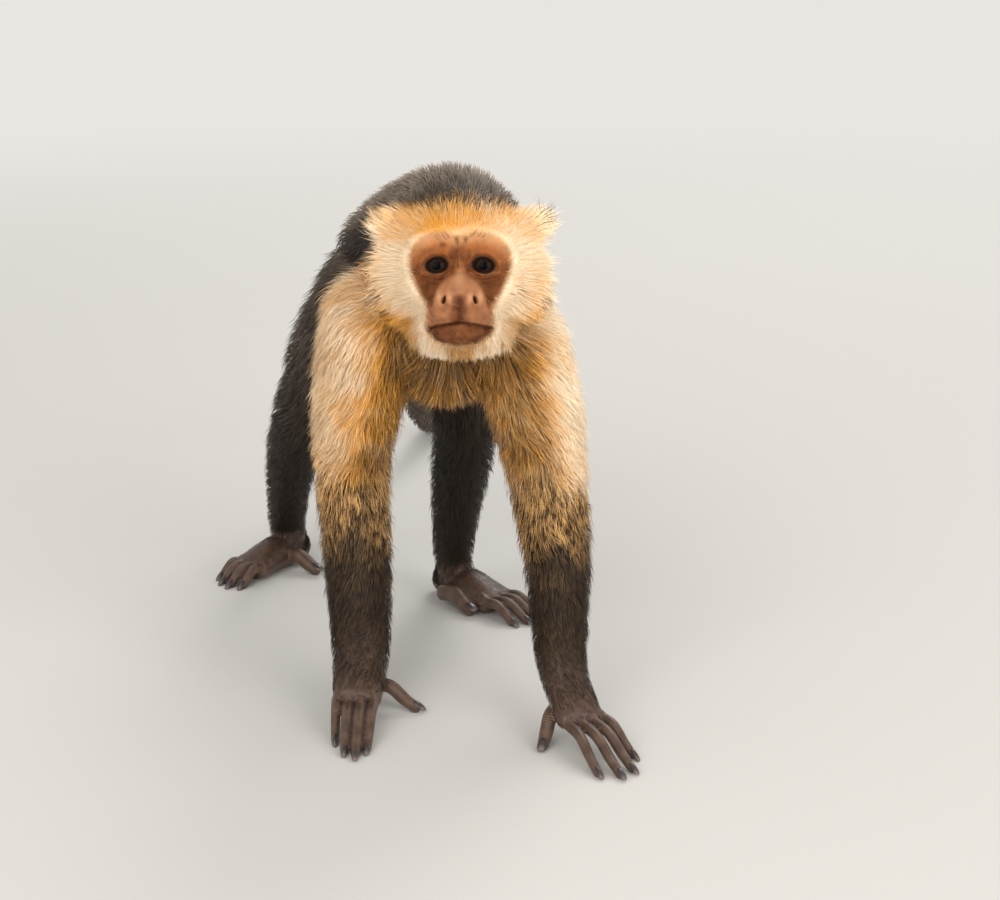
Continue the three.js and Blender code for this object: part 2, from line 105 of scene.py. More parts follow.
# Limbs, trunk and tail. Each station is x, y, z, half width, half height and depth of coat.
TRUNK = [
    (2, 40, 204, 34, 40, 8),
    (8, 66, 208, 43, 50, 9),
    (21, 104, 215, 47, 54, 10),
    (34, 150, 224, 46, 55, 10),
    (29, 200, 215, 45, 51, 10),
    (18, 240, 205, 40, 41, 9),
]
NECK = [
    (8, 100, 212, 44, 48, 12),
    (1, 50, 226, 43, 38, 12),
    (0, 2, 246, 34, 28, 9),
]
TAIL = [
    (15, 258, 212, 17, 17, 6),
    (18, 304, 205, 15.5, 15.5, 6),
    (32, 362, 168, 14.5, 14.5, 5.5),
    (58, 422, 100, 13.5, 13.5, 5.5),
    (88, 482, 36, 12.5, 12.5, 5),
    (112, 540, 12.2, 12, 12, 4.5),
    (148, 580, 10.7, 11.3, 11.3, 4.2),
    (184, 566, 9.6, 10.2, 10.2, 4),
    (186, 532, 8.4, 9, 9, 4),
]
ARMS = {
    "left": [
        (36, 25, 202, 29, 33, 9),
        (51, 38, 160, 27.5, 28, 9),
        (60, 46, 118, 23.5, 23, 7.5),
        (59, 22, 78, 19.5, 20, 6),
        (51.5, -12, 34, 14.5, 13, 2.6),
        (53, -40, 14, 13.4, 8.2, 0.5),
    ],
    "right": [
        (-35, 51, 209, 29.5, 35, 9),
        (-41, 68, 161, 26, 27.5, 9),
        (-41.5, 84, 120, 22.5, 22.5, 7.5),
        (-43, 66, 78, 20.5, 20.5, 6),
        (-46.5, 42, 34, 17, 14.5, 3),
        (-54, 16, 14, 13.6, 8.2, 0.5),
    ],
}
LEGS = {
    "left": [
        (42, 228, 198, 33, 38, 10),
        (41, 182, 168, 28, 32, 9),
        (40, 146, 134, 22.5, 25, 8),
        (39, 164, 84, 18.5, 19, 6),
        (40, 184, 34, 13.5, 14, 2.8),
        (41, 186, 16, 12, 12.5, 1.2),
    ],
    "right": [
        (0, 234, 194, 30, 38, 10),
        (-27, 206, 164, 28, 32, 9),
        (-44, 194, 132, 23, 25, 8),
        (-51, 234, 84, 18, 20, 6),
        (-50, 271, 34, 13.5, 14, 2.8),
        (-49, 274, 16, 12, 12.5, 1.2),
    ],
}

# Hands and feet are laid out along the hand from the wrist or ankle, and across it towards
# the thumb. Each digit: along, across, splay in degrees, length and half width.
HANDS = {"left": ((50.5, -14), 9.0), "right": ((-48.5, 40), -15.0)}
FEET = {"left": ((41, 186), 29.0), "right": ((-49, 273), -52.0)}
FINGERS = {
    "left": {
        "thumb": (10, 8.6, 42, 20, 4),
        "index": (29, 9.6, 1, 36, 2.95),
        "middle": (31, 2.8, -3, 40, 3),
        "ring": (30, -3.9, -6, 38, 2.95),
        "little": (26, -10.4, -11, 28, 2.75),
    },
    "right": {
        "thumb": (4, 8.6, 72, 24, 4),
        "index": (29, 9.9, -3, 33, 2.95),
        "middle": (31, 3.2, -1, 38, 3),
        "ring": (29, -3.6, 0, 35, 2.95),
        "little": (25, -10.2, 2, 26, 2.75),
    },
}
TOES = {
    "left": {
        "big_toe": (6, 14.5, 5, 26, 5.3),
        "second": (38, 9.2, 2, 24, 3.2),
        "third": (39, 2.4, -1, 27, 3.3),
        "fourth": (38, -4.4, -3, 26, 3.2),
        "fifth": (36, -10.8, -6, 22, 3),
    },
    "right": {
        "big_toe": (8, 7, 90, 23, 5.1),
        "second": (36, 9.2, 2, 18, 3.2),
        "third": (37, 2.4, 0, 20, 3.3),
        "fourth": (36, -4.4, -3, 19, 3.2),
        "fifth": (34, -10.8, -6, 16, 3),
    },
}
SOLE = [(-10, 8.6, 8, 8.6), (0, 10.4, 10.6, 10.8), (20, 10, 12.6, 10.5), (37, 6.8, 13.8, 7.2)]
FINGER_LIFT = (13.5, 12.8, 6.4, 2.0)
TOE_LIFT = (7.5, 9.4, 6.0, 2.0)
JOINTS = (0.0, 0.4, 0.74, 1.0)  # knuckle, two joints and tip, as shares of a digit
DIGIT_FORM = (1.12, 1.04, 0.97, 0.84)
SLIM, FLATTER = 0.96, 0.94  # width of a digit against its solid, and height against width
STEPS = 12  # steps at which a limb is read, from one station to the next
SINK = 0.8  # how far pads are modelled into the floor before they are pressed flat
COARSE = 0.055  # share of the skin's faces that is kept under the coat
# How strongly and how often the joined skin is relaxed, and how much less where it is bare.
RELAX = {"share": 0.5, "less": 0.2, "rounds": 4}
# The bones of a hand or foot: where they start along it, and how high.
RIDGE_START = {"hand": (4, 20.5), "foot": (8, 16.5)}

# ------------------------------------------------------------------ small tools


def srgb(red, green, blue):
    """A colour given in the usual 0 to 255 numbers, as the linear one that shaders take."""

    def linear(value):
        value /= 255
        return value / 12.92 if value < 0.04045 else ((value + 0.055) / 1.055) ** 2.4

    return tuple(linear(value) for value in (red, green, blue))


def unit(vectors):
    """Rows scaled to length one."""
    return vectors / np.maximum(np.linalg.norm(vectors, axis=-1, keepdims=True), 1e-9)


def dot(a, b):
    return np.sum(a * b, axis=-1)


def ramp(value, start, end):
    """0 before start, 1 after end and smooth between them. Start may be above end."""
    share = np.clip((value - start) / (end - start), 0, 1)
    return share * share * (3 - 2 * share)


def bell(value, width):
    """1 at zero, falling off over a width on both sides."""
    return np.exp(-((value / width) ** 2))


def spline(rows, shares):
    """Rows read along a uniform Catmull-Rom curve, at shares of its length."""
    rows = np.asarray(rows, float)
    ends = 2 * rows[[0, -1]] - rows[[1, -2]]
    held = np.vstack([ends[:1], rows, ends[1:]])
    place = np.clip(shares, 0, 1) * (len(rows) - 1)
    index = np.minimum(place.astype(int), len(rows) - 2)
    f = (place - index)[:, None]
    a, b, c, d = (held[index + k] for k in range(4))
    bend = (c - a) * f + (2 * a - 5 * b + 4 * c - d) * f**2 + (3 * (b - c) + d - a) * f**3
    return 0.5 * (2 * b + bend)


def wander(points, size, seed):
    """Smooth random numbers from -1 to 1, alike for points nearer together than size."""
    rng = np.random.default_rng(seed)
    waves = unit(rng.normal(size=(7, 3))) * rng.uniform(0.6, 1.7, (7, 1)) * (2 * math.pi / size)
    return np.sin(points @ waves.T + rng.uniform(0, 2 * math.pi, 7)).mean(1) * 1.9


# ------------------------------------------------------------------ the head's shape


def turned(nod, yaw):
    """The head frame's axes, as the columns of a matrix."""
    turn = Matrix.Rotation(math.radians(yaw), 3, "Z") @ Matrix.Rotation(math.radians(nod), 3, "X")
    return np.array(turn)


HEAD_TURN = turned(HEAD["nod"], HEAD["yaw"])


def to_head(points):
    return (points - HEAD["at"]) @ HEAD_TURN


def from_head(points):
    return points @ HEAD_TURN.T + HEAD["at"]


def frame_offset():
    """How far the part's own frame stands from the modelling frame, read from its eyes."""
    corners = [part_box(f"eye_{side}") for side in SIDES]
    middle = sum((np.array(low) + np.array(high)) / 4 for low, high in corners)
    return middle / MM - from_head(np.array([[0.0, -EYE["forward"], EYE["up"]]]))[0]


OFFSET = frame_offset()


def to_metres(points):
    return (points + OFFSET) * MM


def ellipsoid(p, at, size):
    """Distance to an ellipsoid, near enough for blending."""
    q = (p - at) / size
    scaled = np.linalg.norm(q, axis=1)
    slope = np.linalg.norm(q / size, axis=1)
    return scaled * (scaled - 1) / np.maximum(slope, 1e-9)


def melt(a, b, width):
    """The smaller of two distances, melted together over a width."""
    h = np.maximum(width - np.abs(a - b), 0) / width
    return np.minimum(a, b) - h * h * width / 4


def coat_field(points):
    """Distance from points in the head frame to the tips of its coat, negative inside."""
    p = points * [1, 1, 1]
    p[:, 0] = np.abs(p[:, 0])
    distance = None
    for at, size, soft in HEAD_MASSES.values():
        one = ellipsoid(p, np.array(at, float), np.array(size, float))
        distance = one if distance is None else melt(distance, one, soft)
    return distance


def face_margin(points):
    """How far inside the bare face points in the head frame lie, negative in the coat."""
    edge = np.array(FACE_EDGE, float)
    loop = np.vstack([edge[:, ::-1], edge[::-1, ::-1] * [-1, 1]])
    place = points[:, [0, 2]]
    nearest = np.full(len(points), 1e9)
    inside = np.zeros(len(points), bool)
    for a, b in zip(loop, np.roll(loop, -1, axis=0)):
        side = b - a
        share = np.clip(((place - a) @ side) / (side @ side), 0, 1)
        nearest = np.minimum(nearest, np.linalg.norm(place - a - share[:, None] * side, axis=1))
        crosses = (a[1] > place[:, 1]) != (b[1] > place[:, 1])
        if a[1] != b[1]:
            at = a[0] + (place[:, 1] - a[1]) / (b[1] - a[1]) * side[0]
            inside ^= crosses & (place[:, 0] < at)
    margin = np.where(inside, nearest, -nearest)
    return np.minimum(margin, -(points[:, 1] + 6))


def coat_depth(points):
    """How deep the coat of the head stands over the skin."""
    x, z = np.abs(points[:, 0]), points[:, 2]
    cheeks = ramp(x, 14, 34) * ramp(z, 26, 4)
    beard = ramp(z, -24, -36)
    full = 5.5 + 5.5 * np.maximum(cheeks, beard) + 3.5 * ramp(x, 20, 36) * ramp(z, 10, 24)
    return full * ramp(face_margin(points), 0.5, -9.5)


def head_skin(points):
    """Distance from points in the head frame to the skin under the coat."""
    return coat_field(points) + coat_depth(points)


def slope_of(field, points, step=0.15):
    """The unit direction in which a field grows fastest, and how fast."""
    rows = []
    for axis in np.eye(3) * step:
        rows.append((field(points + axis) - field(points - axis)) / (2 * step))
    slope = np.stack(rows, 1)
    rate = np.maximum(np.linalg.norm(slope, axis=1, keepdims=True), 0.2)
    return slope / rate, rate


def settle(field, points, steps=4):
    """Points moved along the field's slope onto its surface."""
    for _ in range(steps):
        out, rate = slope_of(field, points)
        points = points - out * np.clip(field(points)[:, None] / rate, -2.5, 2.5)
    return points


# ------------------------------------------------------------------ limbs and digits


class Limb:
    """A run of stations through the body, read at close steps along its curve."""

    def __init__(self, stations, across, domes=(0.0, 0.0)):
        table = np.asarray(stations, float)
        self.share = np.linspace(0, 1, STEPS * (len(table) - 1) + 1)
        read = spline(table, self.share)
        self.centre, self.girth, self.coat = read[:, :3], read[:, 3:5], read[:, 5]
        self.ahead = unit(np.gradient(self.centre, axis=0))
        across = np.asarray(across, float)
        self.wide = unit(across - (self.ahead @ across)[:, None] * self.ahead)
        self.deep = np.cross(self.ahead, self.wide)
        self.domes = domes
        steps = np.linalg.norm(np.diff(self.centre, axis=0), axis=1)
        self.reach = np.concatenate([[0], np.cumsum(steps)])

    def surface(self, sides=28):
        """Rings of points over the skin, closed by domes, and their faces."""
        turn = np.arange(sides) * 2 * math.pi / sides
        half = self.girth - self.coat[:, None]
        rings = [(i, 0.0) for i in range(len(self.share))]
        bends = np.linspace(0, math.pi / 2, 7)[1:]
        rings = [(0, -b) for b in bends[::-1]] + rings + [(len(self.share) - 1, b) for b in bends]
        points = []
        for i, bend in rings:
            dome = self.domes[0 if bend < 0 else 1]
            size = half[i] * max(math.cos(bend), 0.02)
            middle = self.centre[i] + self.ahead[i] * half[i, 1] * dome * math.sin(bend)
            ring = np.outer(np.cos(turn), self.wide[i]) * size[0]
            points.append(middle + ring + np.outer(np.sin(turn), self.deep[i]) * size[1])
        faces = tube_faces(len(rings), sides)
        return np.vstack(points), faces

    def measure(self, points):
        """For each point: distance to the coat's tips, share along the limb, the limb's
        direction there and the angle round it."""
        girth = self.girth.mean(1)
        best = np.full(len(points), 1e9)
        index = np.zeros(len(points), int)
        for i in range(len(self.share)):
            away = np.linalg.norm(points - self.centre[i], axis=1) / girth[i]
            nearer = away < best
            best[nearer], index[nearer] = away[nearer], i
        offset = points - self.centre[index]
        along = dot(offset, self.ahead[index])
        spacing = np.gradient(self.reach)[index]
        inner = (index > 0) & (index < len(self.share) - 1)
        beyond = np.where(inner, np.sign(along) * np.maximum(np.abs(along) - spacing, 0), along)
        ends = np.where(index == 0, np.minimum(along, 0), np.maximum(along, 0))
        beyond = np.where(inner, beyond, ends)
        wide, deep = dot(offset, self.wide[index]), dot(offset, self.deep[index])
        a, b = self.girth[index].T
        scaled = np.sqrt((wide / a) ** 2 + (deep / b) ** 2 + (beyond / b) ** 2)
        size = np.sqrt(wide**2 + deep**2 + beyond**2)
        distance = size * (1 - 1 / np.maximum(scaled, 1e-6))
        step = 1 / (len(self.share) - 1)
        share = np.clip(self.share[index] + along / spacing * step, 0, 1)
        return {
            "distance": distance,
            "share": share,
            "ahead": self.ahead[index],
            "angle": np.arctan2(deep, wide),
        }


def tube_faces(rings, sides):
    """Quads between rings of points, with both ends closed."""
    i, j = np.meshgrid(np.arange(rings - 1), np.arange(sides), indexing="ij")
    a, b = (i * sides + j).ravel(), (i * sides + (j + 1) % sides).ravel()
    walls = np.stack([a, b, b + sides, a + sides], 1).tolist()
    last = (rings - 1) * sides
    return walls + [list(range(sides))[::-1], list(range(last, last + sides))]


def placed(side, base, along, across, up):
    """A point given along and across a hand or foot, at a height."""
    (x, y), heading = base
    turn = math.radians(heading)
    ahead = (math.sin(turn), -math.cos(turn))
    inward = (-SIDES[side] * math.cos(turn), -SIDES[side] * math.sin(turn))
    return (
        x + along * ahead[0] + across * inward[0],
        y + along * ahead[1] + across * inward[1],
        up,
    )


def digit_limb(side, base, digit, lift):
    """The limb of one finger or toe, from inside the palm to its tip."""
    along, across, splay, length, girth = digit
    turn = math.radians(splay)
    stations = []
    for share, form, height in zip(JOINTS, DIGIT_FORM, lift):
        half = girth * form
        at = placed(
            side,
            base,
            along + share * length * math.cos(turn),
            across + share * length * math.sin(turn),
            max(height, half - SINK),
        )
        stations.append((*at, half * SLIM, half * SLIM * FLATTER, 0.0))
    return Limb(stations, crosswise(stations), (0.3, 0.95))


def crosswise(stations):
    """The level direction square to a run of stations."""
    first, last = stations[0], stations[-1]
    return (last[1] - first[1], first[0] - last[0], 0.0)


def knuckle_ridge(side, base, digit, lift, start, rise):
    """The bone under the skin between the wrist and one digit."""
    along, across = digit[:2]
    stations = []
    for share in (0.0, 0.5, 1.0):
        reach = start + (along + 2 - start) * share
        height = rise + (lift[0] + 0.4 - rise) * share
        at = placed(side, base, reach, across * (0.5 + 0.5 * share), height)
        stations.append((*at, 2.5, 3.4, 0.0))
    return Limb(stations, crosswise(stations), (0.6, 0.6))


def body_limbs():
    """Every limb by name."""
    limbs = {
        "trunk": Limb(TRUNK, (1, 0, 0), (0.7, 0.8)),
        "neck": Limb(NECK, (1, 0, 0), (0.2, 0.2)),
        "tail": Limb(TAIL, (0, 0, 1), (0.2, 1.2)),
    }
    for side in SIDES:
        limbs[f"arm_{side}"] = Limb(ARMS[side], (1, 0.2, 0), (0.8, 0.7))
        limbs[f"leg_{side}"] = Limb(LEGS[side], (1, 0, 0), (0.8, 0.4))
        sole = [
            (*placed(side, FEET[side], along, 0, up - SINK), wide, high, 0.4)
            for along, up, wide, high in SOLE
        ]
        limbs[f"sole_{side}"] = Limb(sole, crosswise(sole), (0.8, 0.6))
    return limbs


def digit_rows():
    """Every finger and toe: side, limb and name, then the limb's place, its row and heights."""
    for side in SIDES:
        for name, digit in FINGERS[side].items():
            yield side, "hand", name, HANDS[side], digit, FINGER_LIFT
        for name, digit in TOES[side].items():
            yield side, "foot", name, FEET[side], digit, TOE_LIFT


LIMBS = body_limbs()
DIGITS = {
    f"{limb}_{side}_{name}": digit_limb(side, *row) for side, limb, name, *row in digit_rows()
}


# ------------------------------------------------------------------ meshes


def deselect_all():
    if bpy.context.object and bpy.context.object.mode != "OBJECT":
        bpy.ops.object.mode_set(mode="OBJECT")
    bpy.ops.object.select_all(action="DESELECT")


def linked(name, data):
    """A new object in the scene's collection."""
    made = bpy.data.objects.new(name, data)
    bpy.context.collection.objects.link(made)
    return made


def in_edit_mode(action, **values):
    bpy.ops.object.mode_set(mode="EDIT")
    action(**values)
    bpy.ops.object.mode_set(mode="OBJECT")


def ball_mesh(add, **sizes):
    """Points and faces of a unit ball."""
    deselect_all()
    add(radius=1, **sizes)
    ball = bpy.context.object
    points = np.array([v.co for v in ball.data.vertices])
    faces = [list(p.vertices) for p in ball.data.polygons]
    bpy.data.objects.remove(ball)
    return points, faces


def new_object(name, points, faces):
    """A new mesh object from points in millimetres, selected and active."""
    deselect_all()
    mesh = bpy.data.meshes.new(name)
    mesh.from_pydata(to_metres(np.asarray(points, float)).tolist(), [], faces)
    made = linked(name, mesh)
    bpy.context.view_layer.objects.active = made
    made.select_set(True)
    return made


def read_rows(items, key, width, kind=np.float32):
    """A property of every vertex, edge or face of a mesh, as rows."""
    flat = np.empty(len(items) * width, kind)
    items.foreach_get(key, flat)
    return flat.reshape(-1, width)


def read_places(items, key):
    """Places of vertices or faces in millimetres, in the modelling frame."""
    return read_rows(items, key, 3).astype(float) / MM - OFFSET


def read_points(mesh):
    return read_places(mesh.vertices, "co")


def write_points(mesh, points):
    mesh.vertices.foreach_set("co", to_metres(points).astype(np.float32).ravel())
    mesh.update()


def relaxed(points, ends, weight, rounds):
    """Points drawn towards the middle of their neighbours, each by its own weight."""
    count = np.bincount(ends.ravel(), minlength=len(points))[:, None]
    for _ in range(rounds):
        total = np.stack(
            [
                np.bincount(ends[:, 0], points[ends[:, 1], k], len(points))
                + np.bincount(ends[:, 1], points[ends[:, 0], k], len(points))
                for k in range(3)
            ],
            1,
        )
        points = points + weight[:, None] * (total / np.maximum(count, 1) - points)
    return points


# ------------------------------------------------------------------ the skin


def ear_mesh(side):
    """A thin cupped ear with a rolled rim, as points and faces in the modelling frame."""
    around, rings = 40, 18
    points, faces = [], []
    for face in (1, -1):
        for i in range(rings):
            r = (i + 0.5) / rings if i < rings - 1 else 0.985
            for j in range(around):
                turn = 2 * math.pi * j / around
                y, z = r * math.cos(turn), r * math.sin(turn)
                back = -EAR["depth"] * math.sqrt(max(1 - r * r, 0)) - 0.6
                thick = 2.5 * math.sqrt(max(1 - r**6, 0)) + 0.1
                rim = 1.3 * math.exp(-(((r - 0.84) / 0.12) ** 2)) * (1 if z > -0.5 else 0.5)
                fold = 0.9 * math.exp(-(((r - 0.5) / 0.13) ** 2)) * max(z + 0.3, 0)
                x = back + (thick + rim + fold if face > 0 else 0)
                points.append((x, y * EAR["width"] / 2, z * EAR["height"] / 2))
    for half in (0, 1):
        base = half * rings * around
        for i in range(rings - 1):
            for j in range(around):
                a, b = base + i * around + j, base + i * around + (j + 1) % around
                quad = [a, b, b + around, a + around]
                faces.append(quad if half == 0 else quad[::-1])
        middle = [base + j for j in range(around)]
        faces.append(middle[::-1] if half == 0 else middle)
    outer, back = (rings - 1) * around, (2 * rings - 1) * around
    for j in range(around):
        k = (j + 1) % around
        faces.append([outer + j, outer + k, back + k, back + j])
    flare = math.radians(-EAR_FLARE)
    turn = np.array(Matrix.Rotation(flare, 3, "Z"))
    place = np.array(points) @ turn.T + (EAR["out"], EAR["back"], EAR["up"])
    place[:, 0] *= SIDES[side]
    return from_head(place), faces


def head_ball():
    """The head inside its coat, as points and faces in the modelling frame."""
    out, faces = ball_mesh(bpy.ops.mesh.primitive_ico_sphere_add, subdivisions=6)
    inside, outside = np.full(len(out), 4.0), np.full(len(out), 75.0)
    for _ in range(20):
        middle = (inside + outside) / 2
        within = head_skin(HEAD_MIDDLE + out * middle[:, None]) < 0
        inside, outside = np.where(within, middle, inside), np.where(within, outside, middle)
    return from_head(HEAD_MIDDLE + out * inside[:, None]), faces


def skin_parts():
    """Closed shapes that together fill the skin."""
    parts = [limb.surface() for limb in LIMBS.values()]
    parts += [limb.surface(20) for limb in DIGITS.values()]
    for side, limb, name, *row in digit_rows():
        if name not in ("thumb", "big_toe"):
            parts.append(knuckle_ridge(side, *row, *RIDGE_START[limb]).surface(16))
    parts += [ear_mesh(side) for side in SIDES]
    return parts + [head_ball()]


def joined(parts):
    points, faces, base = [], [], 0
    for place, rows in parts:
        points.append(place)
        faces += [[base + k for k in row] for row in rows]
        base += len(place)
    return np.vstack(points), faces


def ear_place(side):
    """The middle of an ear's root, in the head frame."""
    return np.array([SIDES[side] * EAR["out"], EAR["back"], EAR["up"]])


def fine_share(points):
    """1 on the face, ears, hands and feet, where the mesh stays fine, 0 under the coat."""
    in_head = to_head(points)
    share = ramp(face_margin(in_head), -7, -4)
    for side in SIDES:
        for (x, y), _ in (HANDS[side], FEET[side]):
            away = np.hypot(points[:, 0] - x, points[:, 1] - y)
            share = np.maximum(share, ramp(away, 96, 90) * ramp(points[:, 2], 32, 26))
        away = np.linalg.norm(points - from_head(ear_place(side)), axis=1)
        share = np.maximum(share, ramp(away, 19, 15) * ramp(np.abs(in_head[:, 0]), 31, 34))
    return share


def select_faces(skin, keep):
    """Selects only the faces whose middle passes a test, in object mode."""
    mesh = skin.data
    for part in (mesh.vertices, mesh.edges):
        part.foreach_set("select", np.zeros(len(part), bool))
    mesh.polygons.foreach_set("select", keep(read_places(mesh.polygons, "center")))
    mesh.update()


def skin_mesh(voxel):
    """The whole skin as one closed mesh: fine where it is bare, coarse under the coat."""
    skin = new_object("skin", *joined(skin_parts()))
    skin.data.remesh_voxel_size = voxel
    skin.data.use_remesh_fix_poles = False
    bpy.ops.object.voxel_remesh()
    points = read_points(skin.data)
    ends = read_rows(skin.data.edges, "vertices", 2, np.int32)
    fine = fine_share(points)
    weight = RELAX["share"] - RELAX["less"] * fine
    points = relaxed(points, ends, weight, RELAX["rounds"])
    points[:, 2] = np.maximum(points[:, 2], 0.0)
    write_points(skin.data, points)
    in_edit_mode(bpy.ops.mesh.select_mode, type="FACE")
    select_faces(skin, lambda p: fine_share(p) < 0.5)
    in_edit_mode(bpy.ops.mesh.decimate, ratio=COARSE)
    return skin


# ------------------------------------------------------------------ the bare face


def eye_middles():
    half = EYE["apart"] / 2
    return [np.array([half * mirror, -EYE["forward"], EYE["up"]]) for mirror in SIDES.values()]


def eye_ring(points):
    """1 on the edge of the lids, less inside the opening and more outside it."""
    rings = []
    for middle in eye_middles():
        out = np.sign(middle[0])
        across = (points[:, 0] - middle[0]) * out
        up = points[:, 2] - middle[2] - 0.2 + 0.06 * across
        high = np.where(up > 0, 4.0, 3.7) - 0.25 * ramp(across, 1, 5)
        rings.append(np.hypot(across / 5.4, up / high))
    return np.minimum(*rings)


def nostril_ring(points):
    """1 on the edge of the nostrils, less inside them."""
    x, z = np.abs(points[:, 0]) - 7.3, points[:, 2] + 18.6
    lean = math.radians(17)
    across = x * math.cos(lean) + z * math.sin(lean)
    up = -x * math.sin(lean) + z * math.cos(lean)
    return np.hypot(across / (0.9 - 0.17 * up.clip(-2, 2)), up / 2.1)


def lip_line(points):
    """Height above the line of the closed mouth."""
    wide = np.abs(points[:, 0])
    return points[:, 2] + 29.5 + 0.15 * wide


def muzzle_edge(z):
    heights, halves = np.array(MUZZLE_EDGE, float).T
    return np.interp(z, heights, halves)


def blot(x, z, at, up, wide, high):
    """1 at a place on the face, falling off over a width and a height."""
    return bell(np.hypot((x - at) / wide, (z - up) / high), 1)


def face_relief(points):
    """Height that folds, nose and lips add to the bare face."""
    x, z = points[:, 0], points[:, 2]
    wide = np.abs(x)
    ring, nostril, lip = eye_ring(points), nostril_ring(points), lip_line(points)
    mouth = ramp(wide, 17.6, 15.5)
    # a fine ridge down the brow between two furrows
    height = 0.3 * bell(x + 0.2 + 0.04 * z, 0.7) * ramp(z, -4, -1) * ramp(z, 13.5, 11)
    height -= 0.45 * bell(wide - 1.9, 0.85) * ramp(z, 7, 10) * ramp(z, 14.5, 11.5)
    # lids: a rounded rim, folds above and two below
    above = ramp(z, -3, 0)
    height += 0.15 * bell(ring - 1.2, 0.12)
    height -= 0.6 * bell(ring - 1.46, 0.12) * above
    height -= 0.45 * bell(ring - 1.5, 0.11) * (1 - above)
    height -= 0.3 * bell(ring - 1.95, 0.14) * (1 - above) * ramp(wide, 22, 17)
    height -= 0.3 * bell(ring - 2.35, 0.15) * above * ramp(wide, 3, 6)
    # the muzzle stands out from hollows under the eyes and beside the bridge of the nose
    inside = ramp(wide - muzzle_edge(z), 1.8, -1.2)
    height += 1.2 * inside * ramp(z, -2, -7) * ramp(z, -26, -20)
    height -= 2.0 * blot(wide, z, 15.8, -11.5, 5.5, 5.5)
    height -= 1.1 * blot(wide, z, 5.2, -2.5, 2.4, 4.5)
    # nose: two rounded wings with a groove between them and a step down to the lip
    height += 1.3 * blot(wide, z, 4.7, -16.6, 2.8, 3.4)
    height += 1.1 * blot(wide, z, 10, -17.6, 1.9, 3.2)
    height -= 3.6 * ramp(nostril, 1.15, 0.5)
    height -= 0.8 * bell(x, 2.4) * ramp(z, -14.5, -19) * ramp(z, -27, -23)
    height -= 1.3 * bell(z + 23.0 - 0.03 * wide**2, 1.0) * ramp(wide, 9.5, 6)
    height -= 0.6 * bell(wide - 12.3 - 0.3 * (-z - 18).clip(0), 0.8) * bell(z + 20, 3.4)
    # lips
    height += 1.1 * blot(wide, z, 9.5, -26, 5, 2.6)
    height -= 1.5 * bell(lip, 0.6) * mouth
    height += 0.3 * bell(lip - 1.3, 0.9) * mouth
    height += 0.5 * bell(lip + 2.2, 1.4) * mouth - 0.9 * ramp(lip, 0.3, -0.3) * mouth
    height -= 0.5 * blot(wide, z, 17.3, -30.4, 1.2, 2)
    # fine wrinkles across the cheeks, the lip and the chin
    lines = np.sin(4.4 * (wide + 0.35 * z) + 1.2 * wander(points, 9, 3))
    height += 0.06 * lines * ramp(z, -21, -26)
    height += 0.1 * wander(points, 2.6, 4) + 0.06 * wander(points, 1.1, 5)
    return height


def shape_face(points, strength):
    """Points in the head frame laid on the face with its folds, lids and nostrils."""
    base = settle(head_skin, points)
    out = slope_of(head_skin, base)[0]
    moved = base + out * face_relief(base)[:, None]
    ring = eye_ring(base)
    for middle in eye_middles():
        near = np.abs(base[:, 0] - middle[0]) < 9
        inner = middle + unit(moved - middle) * (EYE["radius"] - 0.9)
        share = (ramp(ring, 1.12, 0.96) * near)[:, None]
        moved = moved + (inner - moved) * share
    return points + (moved - points) * strength[:, None]


def refine_face(skin):
    """The face gets a finer mesh, finest round the eyes, and its final shape."""
    tests = (
        lambda p: face_margin(p) > -2.5,
        lambda p: (eye_ring(p) < 1.5) & (p[:, 1] < -15),
    )
    for test in tests:
        select_faces(skin, lambda p, test=test: test(to_head(p)))
        in_edit_mode(bpy.ops.mesh.subdivide, number_cuts=1, smoothness=0)
    points = to_head(read_points(skin.data))
    near = np.flatnonzero(face_margin(points) > -7)
    strength = ramp(face_margin(points[near]), -6.5, -2)
    points[near] = shape_face(points[near], strength)
    write_points(skin.data, from_head(points))


